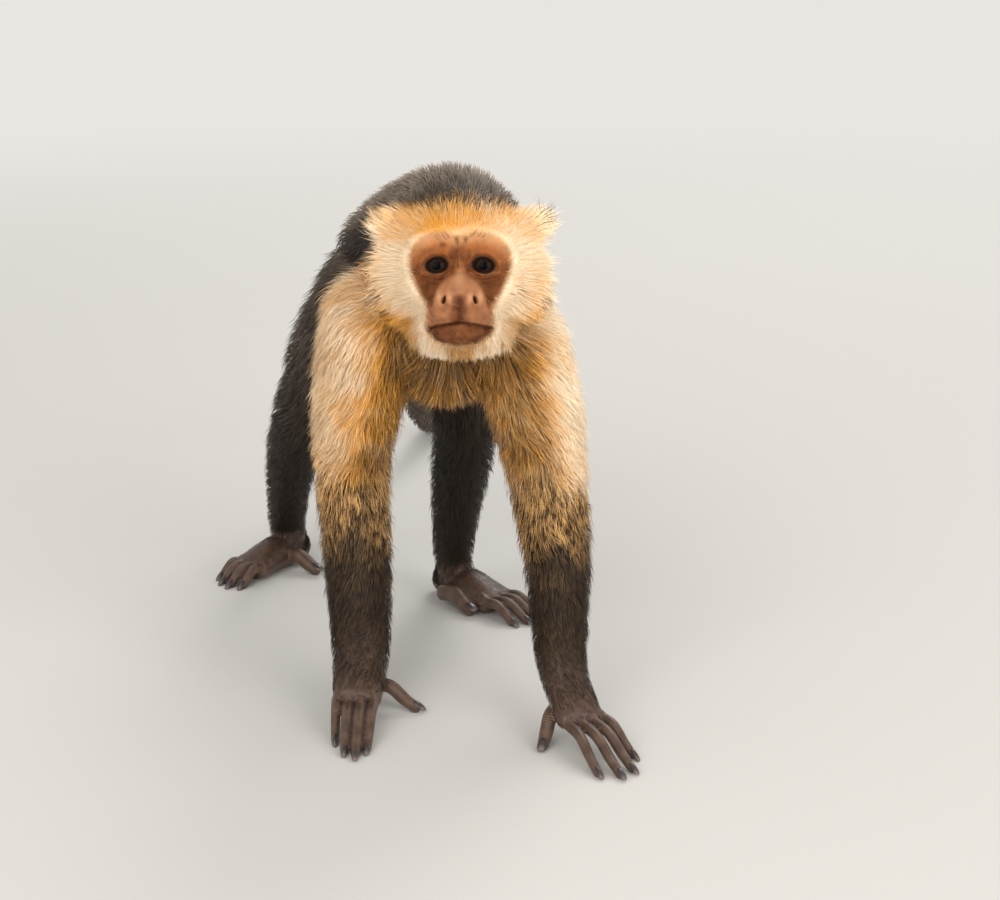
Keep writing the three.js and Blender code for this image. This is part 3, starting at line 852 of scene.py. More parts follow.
def face_marks(points):
    """Shares of pink, brown, near-black and pale that mark the bare face, with painted shade in
    hollows and openings and painted highlights on raised parts.
    """
    x, z = points[:, 0], points[:, 2]
    wide = np.abs(x)
    ring, nostril, lip = eye_ring(points), nostril_ring(points), lip_line(points)
    rough = 0.5 * wander(points, 5, 6)
    margin = face_margin(points) + rough
    low = ramp(z, -2, -7)
    outside = ramp(wide - muzzle_edge(z) + rough, -2.0, 1.8)
    pink = (1 - outside) * low * (0.6 + 0.4 * ramp(lip, -0.6, 1.2)) * ramp(lip, -11, -5)
    furrows = bell(wide - 2.2 - 0.5 * np.sign(x), 1 + 0.4 * (z - 9).clip(-2, 3) / 3)
    furrows = furrows * ramp(z, 6.5, 11) * ramp(z, 14, 11)
    spot = blot(x, z, -8.3, 8.4, 1.8, 1.6)
    lower_lip = 0.97 + 0.15 * rough - 0.26 * blot(x, lip, 0, -5, 8, 5)
    brown = [
        # beside the muzzle, in patches, on the temples, by the bridge and round the eyes. Beside
        # the muzzle, by the bridge and round the eyes the brown is partly painted shade in the
        # hollows.
        0.8 * outside * low,
        0.22 * ramp(wander(points, 4, 8), 0.2, 1),
        0.75 * ramp(wide, 15.5, 20.5) * ramp(z, 4, -3) * ramp(z, -22, -16),
        0.8 * bell(wide - 4.2, 2.4) * ramp(z, 9, 4) * ramp(z, -8, -4),
        0.75 * ramp(ring, 1.7, 1.3),
        0.35 * ramp(ring, 2.8, 1.8),
        # the groove under the nose, the lips and the chin
        bell(x, 3.2 - 0.2 * (z + 18)) * ramp(z, -14, -18) * ramp(lip, -0.6, 0.4),
        (0.3 + 0.3 * rough) * ramp(z, -19, -25),
        0.85 * ramp(lip, 2.2, 0.3) * ramp(lip, -2.5, -0.6),
        0.45 * blot(wide, z, 5.7, -20.3, 1.6, 1.7),
        lower_lip * ramp(lip, 0.5, -0.8),
        # the nose's tip, the fold beside the wings, the bridge and the marks of the brow. In the
        # fold beside the wings the brown is painted shade.
        0.3 * blot(x, z, 0, -12.5, 5.5, 4),
        0.85 * bell(wide - 13 - 0.3 * (-z - 18).clip(0), 1.1) * bell(z + 20, 4.5),
        0.85 * blot(x, z, 0, 3.5, 5, 7),
        0.9 * bell(x + 0.95, 0.5) * ramp(z, -4, -2) * ramp(z, 12, 10),
        0.75 * furrows,
        0.6 * spot,
    ]
    dark = [
        # lids, nostrils, the line of the mouth and the darkest of the brow's marks. Over the
        # upper lid the dark is painted shade under the brow; in the nostrils and the mouth's line
        # it is partly painted shade.
        ramp(ring, 1.22, 1.0),
        0.85 * ramp(nostril, 1.15, 0.7),
        0.55 * ramp(ring, 1.4, 1.1) * ramp(z, -3, 0),
        0.5 * bell(lip, 0.45) * ramp(wide, 18, 15),
        (0.1 + 0.2 * rough) * furrows,
        0.05 * spot,
        0.4 * blot(x, z, -0.8, -1.9, 0.7, 0.84),
    ]
    pale = [
        # edges of the wings, the rim of the face, the bridge, the brow's ridge and the lower lid.
        # On the wings the pale is painted highlight; on the rim over the brow, on the bridge and
        # on the brow's ridge it is partly painted highlight.
        0.25 * blot(wide, z, 4.9, -18, 1.2, 2.8),
        0.25 * blot(wide, z, 9.9, -17, 1.2, 3),
        0.35 * ramp(margin, 2.4, 0.2),
        0.42 * ramp(margin, 8, 0.2) * ramp(z, 0, 12),
        0.2 * blot(x, z, 0, -8.5, 2.6, 5),
        (0.05 + 0.16 * rough) * bell(x + 0.2, 0.7) * ramp(z, -4, -1) * ramp(z, 12, 9),
        0.14 * bell(ring - 1.28, 0.08) * ramp(z, -4, -5),
    ]
    brown, dark, pale = (np.max(shares, axis=0) for shares in (brown, dark, pale))
    pale = pale * (1 - 0.7 * np.maximum(furrows, spot))
    return np.stack([pink, brown, dark, pale], 1)


# ------------------------------------------------------------------ markings


# The least gold and dark on each arm: the left is the paler, as painted light falling on that
# side.
ARM_GOLD = {"left": 0.14, "right": 0.42}
ARM_DARK = {"left": 0.02, "right": 0.12}


def limb_reads(points):
    """Each limb's measures at some points, with the head's, and the owner of each point."""
    reads = {name: limb.measure(points) for name, limb in LIMBS.items()}
    in_head = to_head(points)
    reads["head"] = {"distance": coat_field(in_head), "coat": coat_depth(in_head)}
    names = list(reads)
    distances = np.stack([reads[name]["distance"] for name in names])
    share = np.exp(-(distances - distances.min(0)) / 2.5)
    share /= share.sum(0)
    return reads, names, share


def markings(points, normals, reads, names, share):
    """Shares of gold, dark, frosted tips and grey sheen in the coat at some points, with painted
    shade and painted light among them.
    """
    part = dict(zip(names, share))
    up = normals[:, 2]
    gold, dark, frost, sheen = (np.zeros(len(points)) for _ in range(4))
    head = to_head(points)
    wide, deep, high = np.abs(head[:, 0]), head[:, 1], head[:, 2]
    # head: a golden crown and throat in a cream ruff, and a dark cap. Under the jaw and the beard
    # the gold is partly, and the dark wholly, painted shade.
    crown = ramp(high, 10, 21) * ramp(wide, 32, 9)
    tuft = bell(wide - 9.5, 4)
    margin = face_margin(head)
    chin = np.maximum(ramp(margin, -0.6, -1.8), ramp(up, -0.3, -0.65))
    chin = chin * ramp(high, -36.5, -39.5) * ramp(wide, 15, 10) * (1 - 0.85 * tuft)
    throat = ramp(high, -8, -27) * ramp(wide, 12, 22)
    throat *= ramp(margin, -1 - 3 * ramp(high, -28, -18), -5 - 4 * ramp(high, -28, -18))
    # painted light: the throat is less golden on the left side
    throat *= 1 - 0.35 * ramp(head[:, 0], 10, 20)
    rim = ramp(margin, -9, -1.5) * ramp(high, 16, 6) * (1 - chin) * (1 - 0.6 * throat)
    # painted light: the coat of the head is paler on its left side and over the upper right of
    # the ruff
    lit = 0.26 * ramp(head[:, 0], -25, 20)
    lit = lit + 0.16 * ramp(head[:, 0], -16, -24) * ramp(high, -22, -12)
    throat = np.maximum(throat, 0.6 * chin)
    tone = 0.72 + 0.3 * crown - 0.46 * ramp(wide, 26, 42) + 0.55 * throat - lit
    gold += part["head"] * (tone - 0.95 * rim * tone)
    cap = ramp(deep, 0.5, 11) * ramp(high, 0, 20) * ramp(wide, 30, 16)
    # painted shade: darker under the jaw and on the underside of the beard
    dark += part["head"] * (0.24 * throat + 0.3 * chin)
    tips = crown * (0.15 * ramp(high, 14, 24) + 0.5 * ramp(high, 21, 27))
    dark += part["head"] * np.maximum(cap, tips)
    # neck, trunk and tail: gold before, dark behind, with a grey sheen along the back. The extra
    # gold and dark where neck and chest face down are painted shade under the head, and the sheen
    # where the back faces up is a painted sheen.
    back = reads["trunk"]["share"] + 0.2 * ramp(points[:, 0], 5, -30)
    nape = ramp(up, 0.3, 0.8)
    behind = ramp(deep, 18, 34)
    # more gold where the neck, and the trunk below, face down: partly their own deeper colour,
    # partly painted shade
    gold += part["neck"] * (0.7 + 0.3 * ramp(up, 0.5, 0.0))
    dark += part["neck"] * nape * behind
    saddle = np.maximum(ramp(back, 0.2, 0.34), nape * ramp(back, 0.0, 0.08))
    dark += part["trunk"] * saddle
    gold += part["trunk"] * (0.75 + 0.25 * ramp(up, 0.5, 0.0))
    # painted shade: darker on the underside of the neck and chest, under the head
    dark += (part["trunk"] + part["neck"]) * 0.66 * ramp(up, 0.6, 0.0) * ramp(wide, 54, 32)
    # painted sheen: paler grey along the top of the back where it faces up; the small even share
    # is grey hair
    sheen += (part["trunk"] + part["neck"]) * (0.04 + 0.8 * nape * ramp(deep, 85, 150)) * behind
    dark += part["tail"]
    sheen += part["tail"] * 0.25
    # arms darken below the elbow and are golder and darker within as painted shade; legs are dark
    for side in SIDES:
        arm, leg = reads[f"arm_{side}"], reads[f"leg_{side}"]
        mixed = 0.05 * wander(points, 24, 11) + 0.02 * wander(points, 8, 12)
        s = arm["share"] + mixed
        own = part[f"arm_{side}"]
        dark += own * ramp(s, 0.345, 0.5)
        # painted shade: golder and darker on the side that faces the body and the floor, with a
        # darkening towards the elbow
        inner = ramp(dot(normals, np.array([-SIDES[side], -0.35, -0.25])), -0.35, 0.75)
        gold += own * (ARM_GOLD[side] + 0.62 * inner)
        shade = 0.4 * ramp(inner, 0.5, 1) + 0.2 * ramp(s, 0.14, 0.32)
        dark += own * (ARM_DARK[side] + shade)
        frost += own * ramp(s, 0.2, 0.36) * (0.06 + 0.94 * ramp(s, 0.64, 0.44))
        dark += part[f"leg_{side}"] + part[f"sole_{side}"]
        sheen += part[f"leg_{side}"] * 0.25 * ramp(leg["share"], 0.5, 0.2)
    # the shade under the throat
    under = ramp(high, -18, -44) * ramp(wide, 50, 32) * ramp(deep, 45, 15)
    dark += 0.34 * under * (1 - part["head"]) * (dark < 0.8)
    gold += 0.3 * under * (1 - part["head"])
    return np.clip(np.stack([gold, dark, frost, sheen], 1), 0, 1)


def mesh_normals(mesh):
    return read_rows(mesh.vertices, "normal", 3).astype(float)


def store_colours(mesh, name, rows):
    """Stores up to four shares at each vertex as a colour attribute."""
    layer = mesh.attributes.new(name, "FLOAT_COLOR", "POINT")
    full = np.ones((len(rows), 4), np.float32)
    full[:, : rows.shape[1]] = rows
    layer.data.foreach_set("color", full.ravel())


def store_vectors(mesh, name, rows):
    """Stores a direction or place at each vertex as an attribute."""
    layer = mesh.attributes.new(name, "FLOAT_VECTOR", "POINT")
    layer.data.foreach_set("vector", rows.astype(np.float32).ravel())


def digit_wrinkles(points):
    """For bare fingers and toes: how far along the digit, how near a joint, and how near another
    digit, which sets painted shade between the digits.
    """
    along = np.zeros(len(points))
    joint = np.zeros(len(points))
    best = np.full(len(points), 1.5)
    away = []
    for limb in DIGITS.values():
        read = limb.measure(points)
        away.append(read["distance"])
        nearer = read["distance"] < best
        best[nearer] = read["distance"][nearer]
        reach = read["share"] * limb.reach[-1]
        bends = [limb.reach[-1] * share for share in JOINTS[:3]]
        near = np.max([bell(reach - bend, 3.2) for bend in bends], axis=0)
        along[nearer], joint[nearer] = reach[nearer], near[nearer]
    return along, joint, ramp(np.partition(away, 1, axis=0)[1], 2.4, 0.3)


def mark_skin(skin):
    """Stores the markings of the coat and of the bare skin on the skin's mesh."""
    points, normals = read_points(skin.data), mesh_normals(skin.data)
    reads, names, share = limb_reads(points)
    marks = markings(points, normals, reads, names, share)
    head = to_head(points)
    face = ramp(face_margin(head), -2.5, 1.0)
    part = dict(zip(names, share))
    ears = ramp(fine_share(points), 0.2, 0.8) * (1 - ramp(face_margin(head), -9, -5))
    ears *= part["head"]
    bare = np.zeros(len(points))
    for side in SIDES:
        bare += part[f"arm_{side}"] * ramp(reads[f"arm_{side}"]["share"], 0.74, 0.86)
        bare += part[f"leg_{side}"] * ramp(reads[f"leg_{side}"]["share"], 0.8, 0.98)
        bare += part[f"sole_{side}"]
    along, joint, between = digit_wrinkles(points)
    bare = np.maximum(bare, ramp(joint, 0, 0.02))
    store_colours(skin.data, "coat", marks)
    store_colours(skin.data, "face", face_marks(head))
    store_colours(skin.data, "bare", np.stack([face, np.clip(bare, 0, 1), ears], 1))
    # the crease's last channel sets painted shade between the digits
    store_colours(skin.data, "crease", np.stack([along / 100, joint, between], 1))


# ------------------------------------------------------------------ shader groups


def new_group(name, inputs, outputs):
    tree = bpy.data.node_groups.new(name, "ShaderNodeTree")
    for title, kind, value in inputs:
        socket = tree.interface.new_socket(title, in_out="INPUT", socket_type=kind)
        if value is not None:
            socket.default_value = value
    for title, kind in outputs:
        tree.interface.new_socket(title, in_out="OUTPUT", socket_type=kind)
    return tree, tree.nodes.new("NodeGroupInput"), tree.nodes.new("NodeGroupOutput")


def add_node(tree, kind, inputs=None, **settings):
    """A node with its settings, and with values or links on its inputs."""
    node = tree.nodes.new(kind)
    for key, value in settings.items():
        setattr(node, key, value)
    for key, value in (inputs or {}).items():
        if isinstance(value, bpy.types.NodeSocket):
            tree.links.new(value, node.inputs[key])
        else:
            node.inputs[key].default_value = value
    return node


def mixed_colour(tree, factor, a, b, blend="MIX"):
    keys = {0: factor, 6: a, 7: b}
    return add_node(tree, "ShaderNodeMix", keys, data_type="RGBA", blend_type=blend).outputs[2]


def layered(tree, colour, *layers):
    """A colour with others laid over it, each by its share."""
    for share, tone in layers:
        colour = mixed_colour(tree, share, colour, tone)
    return colour


def maths(tree, operation, a, b=0.0, clamp=False):
    node = add_node(tree, "ShaderNodeMath", {0: a, 1: b}, operation=operation, use_clamp=clamp)
    return node.outputs[0]


def times(tree, a, b):
    return maths(tree, "MULTIPLY", a, b)


def noise(tree, place, scale, detail):
    keys = {"Vector": place, "Scale": scale, "Detail": detail}
    return add_node(tree, "ShaderNodeTexNoise", keys).outputs[0]


def channels(tree, colour):
    return add_node(tree, "ShaderNodeSeparateColor", {0: colour}).outputs


def ranged(tree, value, low, high, to_low=0.0, to_high=1.0):
    """A value read between two ends, smoothly, and given between two others."""
    keys = {0: value, 1: low, 2: high, 3: to_low, 4: to_high}
    node = add_node(tree, "ShaderNodeMapRange", keys, interpolation_type="SMOOTHSTEP")
    return node.outputs[0]


def four(colour):
    return (*colour, 1.0)


COAT_TONES = {
    "cream": (255, 236, 207),
    "gold": (237, 165, 54),
    "dark": (35, 28, 22),
    "frost": (226, 176, 112),
    # grey hair, and the painted sheen along the top of the back
    "grey": (160, 144, 128),
}
# painted shade: locks are darker and warmer towards their roots, where light reaches less
ROOT_SHADE = (0.92, 0.76, 0.54)  # multiplies the colour of a lock at its root
UNDER_LOCK = (0.7, 0.5, 0, 1)  # the place along a lock and the chance that the skin shows


def coat_group():
    """Coat colour from its shares of gold, dark, frost and sheen, with each lock's own tone and
    painted shade towards its root. The sheen share is partly a painted sheen.
    """
    tree, given, result = new_group(
        "Coat colour",
        [
            ("Shares", "NodeSocketColor", None),
            ("Sheen share", "NodeSocketFloat", 0.0),
            ("Lock", "NodeSocketColor", None),
            ("Place", "NodeSocketVector", None),
            *[
                (name.title(), "NodeSocketColor", four(srgb(*tone)))
                for name, tone in COAT_TONES.items()
            ],
            ("Root", "NodeSocketColor", four(ROOT_SHADE)),
        ],
        [("Colour", "NodeSocketColor")],
    )
    given = given.outputs
    shares, lock = channels(tree, given["Shares"]), channels(tree, given["Lock"])
    along, chance = lock[0], lock[1]
    drift = ranged(tree, noise(tree, given["Place"], 55.0, 3.0), 0.3, 0.7, -0.16, 0.16)
    warm = maths(tree, "ADD", shares[0], drift, clamp=True)
    warm = maths(tree, "ADD", warm, ranged(tree, chance, 0, 1, -0.14, 0.14), clamp=True)
    edge = times(tree, shares[1], maths(tree, "SUBTRACT", 1.0, shares[1]))
    patchy = times(tree, edge, ranged(tree, chance, 0, 1, -1.3, 1.3))
    patchy = maths(tree, "ADD", shares[1], patchy, clamp=True)
    grey = times(tree, given["Sheen share"], ranged(tree, along, 0.2, 0.9, 0.25, 1.0))
    tipped = times(tree, ranged(tree, along, 0.4, 0.85), ranged(tree, chance, 0.2, 0.5))
    colour = layered(
        tree,
        given["Cream"],
        (warm, given["Gold"]),
        (patchy, given["Dark"]),
        (grey, given["Grey"]),
        (times(tree, shares[2], tipped), given["Frost"]),
    )
    # painted shade towards each lock's root
    root_shade = mixed_colour(tree, ranged(tree, along, 0.0, 0.75), given["Root"], (1, 1, 1, 1))
    colour = mixed_colour(tree, 1.0, colour, root_shade, "MULTIPLY")
    tone = ranged(tree, chance, 0, 1, 0.84, 1.12)
    grade = add_node(tree, "ShaderNodeCombineColor", {0: tone, 1: tone, 2: tone}).outputs[0]
    colour = mixed_colour(tree, 1.0, colour, grade, "MULTIPLY")
    tree.links.new(colour, result.inputs[0])
    return tree


def grain_group():
    """Bump height of pores and fine wrinkles in bare skin."""
    tree, given, result = new_group(
        "Skin grain",
        [
            ("Place", "NodeSocketVector", None),
            ("Pore scale", "NodeSocketFloat", 1400.0),
            ("Wrinkle scale", "NodeSocketFloat", 520.0),
            ("Wrinkles", "NodeSocketFloat", 0.5),
        ],
        [("Height", "NodeSocketFloat"), ("Mottle", "NodeSocketFloat")],
    )
    given = given.outputs
    pores = noise(tree, given["Place"], given["Pore scale"], 3.0)
    keys = {"Vector": given["Place"], "Scale": given["Wrinkle scale"]}
    cells = add_node(tree, "ShaderNodeTexVoronoi", keys, feature="DISTANCE_TO_EDGE").outputs[0]
    lines = times(tree, ranged(tree, cells, 0.0, 0.12), given["Wrinkles"])
    height = maths(tree, "ADD", times(tree, pores, 0.5), lines)
    tree.links.new(height, result.inputs[0])
    tree.links.new(noise(tree, given["Place"], 260.0, 4.0), result.inputs[1])
    return tree


def new_material(name):
    material = bpy.data.materials.new(name)
    material.use_nodes = True
    tree = material.node_tree
    return material, tree, tree.nodes["Principled BSDF"]


def attribute(tree, name):
    return add_node(tree, "ShaderNodeAttribute", attribute_name=name)


def place_of(tree):
    return add_node(tree, "ShaderNodeTexCoord").outputs["Object"]


def use_group(tree, group, inputs):
    return add_node(tree, "ShaderNodeGroup", inputs, node_tree=group)


def bumped(tree, shader, height, distance, strength):
    keys = {"Height": height, "Distance": distance, "Strength": strength}
    bump = add_node(tree, "ShaderNodeBump", keys)
    tree.links.new(bump.outputs[0], shader.inputs["Normal"])


def fade_shaders(tree, share, first, second):
    """Ends a material with one shader fading into another by a share."""
    keys = {0: share, 1: first.outputs[0], 2: second.outputs[0]}
    both = add_node(tree, "ShaderNodeMixShader", keys)
    tree.links.new(both.outputs[0], tree.nodes["Material Output"].inputs[0])


def skin_material(settings, groups):
    """Bare skin on face, ears, hands and feet, and the coat's own colours under the coat."""
    material, tree, shader = new_material("Skin")
    coat, face = attribute(tree, "coat"), attribute(tree, "face")
    bare, crease = attribute(tree, "bare"), attribute(tree, "crease")
    place = place_of(tree)
    grain = use_group(tree, groups["grain"], {"Place": place, "Wrinkles": 0.35}).outputs
    keys = {"Shares": coat.outputs["Color"], "Sheen share": coat.outputs["Alpha"], "Place": place}
    under = use_group(tree, groups["coat"], {**keys, "Lock": UNDER_LOCK})
    marks = channels(tree, face.outputs["Color"])
    parts = channels(tree, bare.outputs["Color"])
    bend = channels(tree, crease.outputs["Color"])

    def own(name):
        return four(getattr(settings, f"{name}_tone"))

    mottle = ranged(tree, grain["Mottle"], 0.3, 0.72, -0.22, 0.22)
    pink = maths(tree, "ADD", marks[0], mottle, clamp=True)
    brown = maths(tree, "ADD", marks[1], times(tree, mottle, 0.7), clamp=True)
    # bare face: the brown, pale and lid shares carry painted shade and painted highlights as well
    # as the skin's own colours
    tone = layered(
        tree,
        own("face"),
        (pink, own("muzzle")),
        (brown, own("lip")),
        (face.outputs["Alpha"], own("pale")),
        (marks[2], own("lid")),
    )
    # hands and feet: dark skin, pinker between the wrinkles of the joints, with painted shade
    # where digits lie close together
    stripes = maths(tree, "SINE", times(tree, bend[0], 640.0))
    lined = times(tree, ranged(tree, stripes, -0.3, 0.9), bend[1])
    limb = layered(
        tree,
        own("palm"),
        (ranged(tree, grain["Mottle"], 0.35, 0.7), own("hand")),
        (times(tree, lined, 0.45), own("knuckle")),
        # painted shade between the digits
        (times(tree, bend[2], 0.75), four(srgb(26, 17, 12))),
    )
    colour = layered(
        tree, under.outputs[0], (parts[0], tone), (parts[1], limb), (parts[2], own("ear"))
    )
    tree.links.new(colour, shader.inputs["Base Color"])
    rough = ranged(tree, grain["Mottle"], 0.3, 0.7, 0.42, 0.62)
    rough = maths(tree, "SUBTRACT", rough, times(tree, parts[1], 0.14))
    tree.links.new(rough, shader.inputs["Roughness"])
    gloss = maths(tree, "ADD", times(tree, parts[1], 0.22), 0.1)
    tree.links.new(gloss, shader.inputs["Specular IOR Level"])
    height = maths(tree, "ADD", grain["Height"], times(tree, lined, 0.9))
    bumped(tree, shader, height, 0.00025, 0.55)
    return material


# Tones of an eye from its middle outwards.
EYE_TONES = {"pupil": (4, 3, 3), "iris": (20, 12, 8), "rim": (16, 10, 8), "white": (32, 20, 15)}


def eye_material(settings):
    """A dark wet eye. The iris lies round the attribute that runs across the gaze."""
    material, tree, shader = new_material("Eye")
    gaze = attribute(tree, "gaze").outputs["Vector"]
    split = add_node(tree, "ShaderNodeSeparateXYZ", {0: gaze}).outputs
    flat = add_node(tree, "ShaderNodeCombineXYZ", {0: split[0], 1: split[2]}).outputs[0]
    out = add_node(tree, "ShaderNodeVectorMath", {0: flat}, operation="LENGTH").outputs["Value"]
    turn = add_node(tree, "ShaderNodeVectorMath", {0: flat}, operation="NORMALIZE").outputs[0]
    streaks = ranged(tree, noise(tree, turn, 9.0, 4.0), 0.35, 0.65)
    iris = mixed_colour(tree, streaks, four(srgb(*EYE_TONES["iris"])), four(settings.iris_tone))
    colour = layered(
        tree,
        four(srgb(*EYE_TONES["pupil"])),
        (ranged(tree, out, 0.22, 0.25), iris),
        (ranged(tree, out, 0.50, 0.58), four(srgb(*EYE_TONES["rim"]))),
        (ranged(tree, out, 0.60, 0.72), four(srgb(*EYE_TONES["white"]))),
    )
    tree.links.new(colour, shader.inputs["Base Color"])
    shader.inputs["Roughness"].default_value = 0.16
    shader.inputs["Coat Weight"].default_value = 0.025
    shader.inputs["Specular IOR Level"].default_value = 0.03
    shader.inputs["Coat Roughness"].default_value = 0.03
    return material


def nail_material(settings):
    """Dark horn with fine grooves along it, paler at the free edge."""
    material, tree, shader = new_material("Nail")
    plate = attribute(tree, "plate").outputs["Vector"]
    split = add_node(tree, "ShaderNodeSeparateXYZ", {0: plate}).outputs
    grooves = noise(tree, plate, 6.0, 2.0)
    keys = {0: times(tree, split[0], 9.0), 1: split[1]}
    fine = noise(tree, add_node(tree, "ShaderNodeCombineXYZ", keys).outputs[0], 2.5, 3.0)
    colour = layered(
        tree,
        four(settings.nail_tone),
        (ranged(tree, split[1], 0.1, 0.95), four(settings.edge_tone)),
        (ranged(tree, grooves, 0.35, 0.7, 0.0, 0.5), four(srgb(30, 24, 24))),
    )
    tree.links.new(colour, shader.inputs["Base Color"])
    tree.links.new(ranged(tree, fine, 0.3, 0.7, 0.2, 0.36), shader.inputs["Roughness"])
    bumped(tree, shader, fine, 0.0001, 0.5)
    return material


# ------------------------------------------------------------------ the coat

# Each length of coat, with {} where left and right are alike: the limb it grows on, the shares
# of that limb it covers, the limbs whose coat it meets, locks in all, length against depth,
# width in mm, how far tips gather into tufts, and the slot of its finish.
COAT_ROWS = {
    "coat_head_{}": ("head", 0, 1, ("neck",), 17000, 1.0, 0.32, 0.3, "coat_pale"),
    "coat_face": ("head", 0, 1, (), 5200, 0.5, 0.11, 0.1, "coat_pale"),
    "coat_neck": ("neck", 0, 1.01, ("head", "trunk"), 11000, 1.0, 0.36, 0.3, "coat_pale"),
    "coat_chest": ("trunk", 0, 0.42, ("neck",), 9500, 0.95, 0.4, 0.32, "coat_gold"),
    "coat_belly": ("trunk", 0.42, 0.74, (), 6500, 0.9, 0.62, 0.34, "coat_dark"),
    "coat_rump": ("trunk", 0.74, 1.01, (), 5000, 0.9, 0.62, 0.34, "coat_dark"),
    "coat_upper_arm_{}": ("arm_{}", 0, 0.37, ("trunk",), 12800, 0.95, 0.36, 0.34, "coat_gold"),
    "coat_forearm_{}": ("arm_{}", 0.37, 1.01, (), 9500, 1.0, 0.4, 0.36, "coat_dark"),
    "coat_thigh_{}": ("leg_{}", 0, 0.48, ("trunk",), 5600, 0.9, 0.58, 0.36, "coat_dark"),
    "coat_shank_{}": ("leg_{}", 0.48, 1.01, ("sole_{}",), 5000, 1.0, 0.46, 0.36, "coat_dark"),
    "coat_foot_{}": ("sole_{}", 0, 1.01, ("leg_{}",), 2200, 1.0, 0.32, 0.2, "coat_dark"),
    "coat_tail": ("tail", 0, 1.01, ("trunk",), 7000, 1.0, 0.56, 0.36, "coat_dark"),
}


def coat_rows():
    """Every length of coat by name, with the sides written out."""
    rows = {}
    for name, (owner, low, high, meets, *rest) in COAT_ROWS.items():
        for side in SIDES if "{}" in name else ("",):
            meeting = tuple(limb.format(side) for limb in meets)
            rows[name.format(side)] = (owner.format(side), low, high, meeting, *rest)
    return rows


COATS = coat_rows()
LOCK_RINGS = 2  # rings of points along a lock, between its root and its tip
ROOTED = 0.5  # how deep a lock starts in the skin
PATCH = 0.003  # how wide a lock lies on its map
LEAST_DEPTH = 0.8  # of the coat a lock stands in, in mm
DOWN = np.array([0.0, 0.0, -1.0])


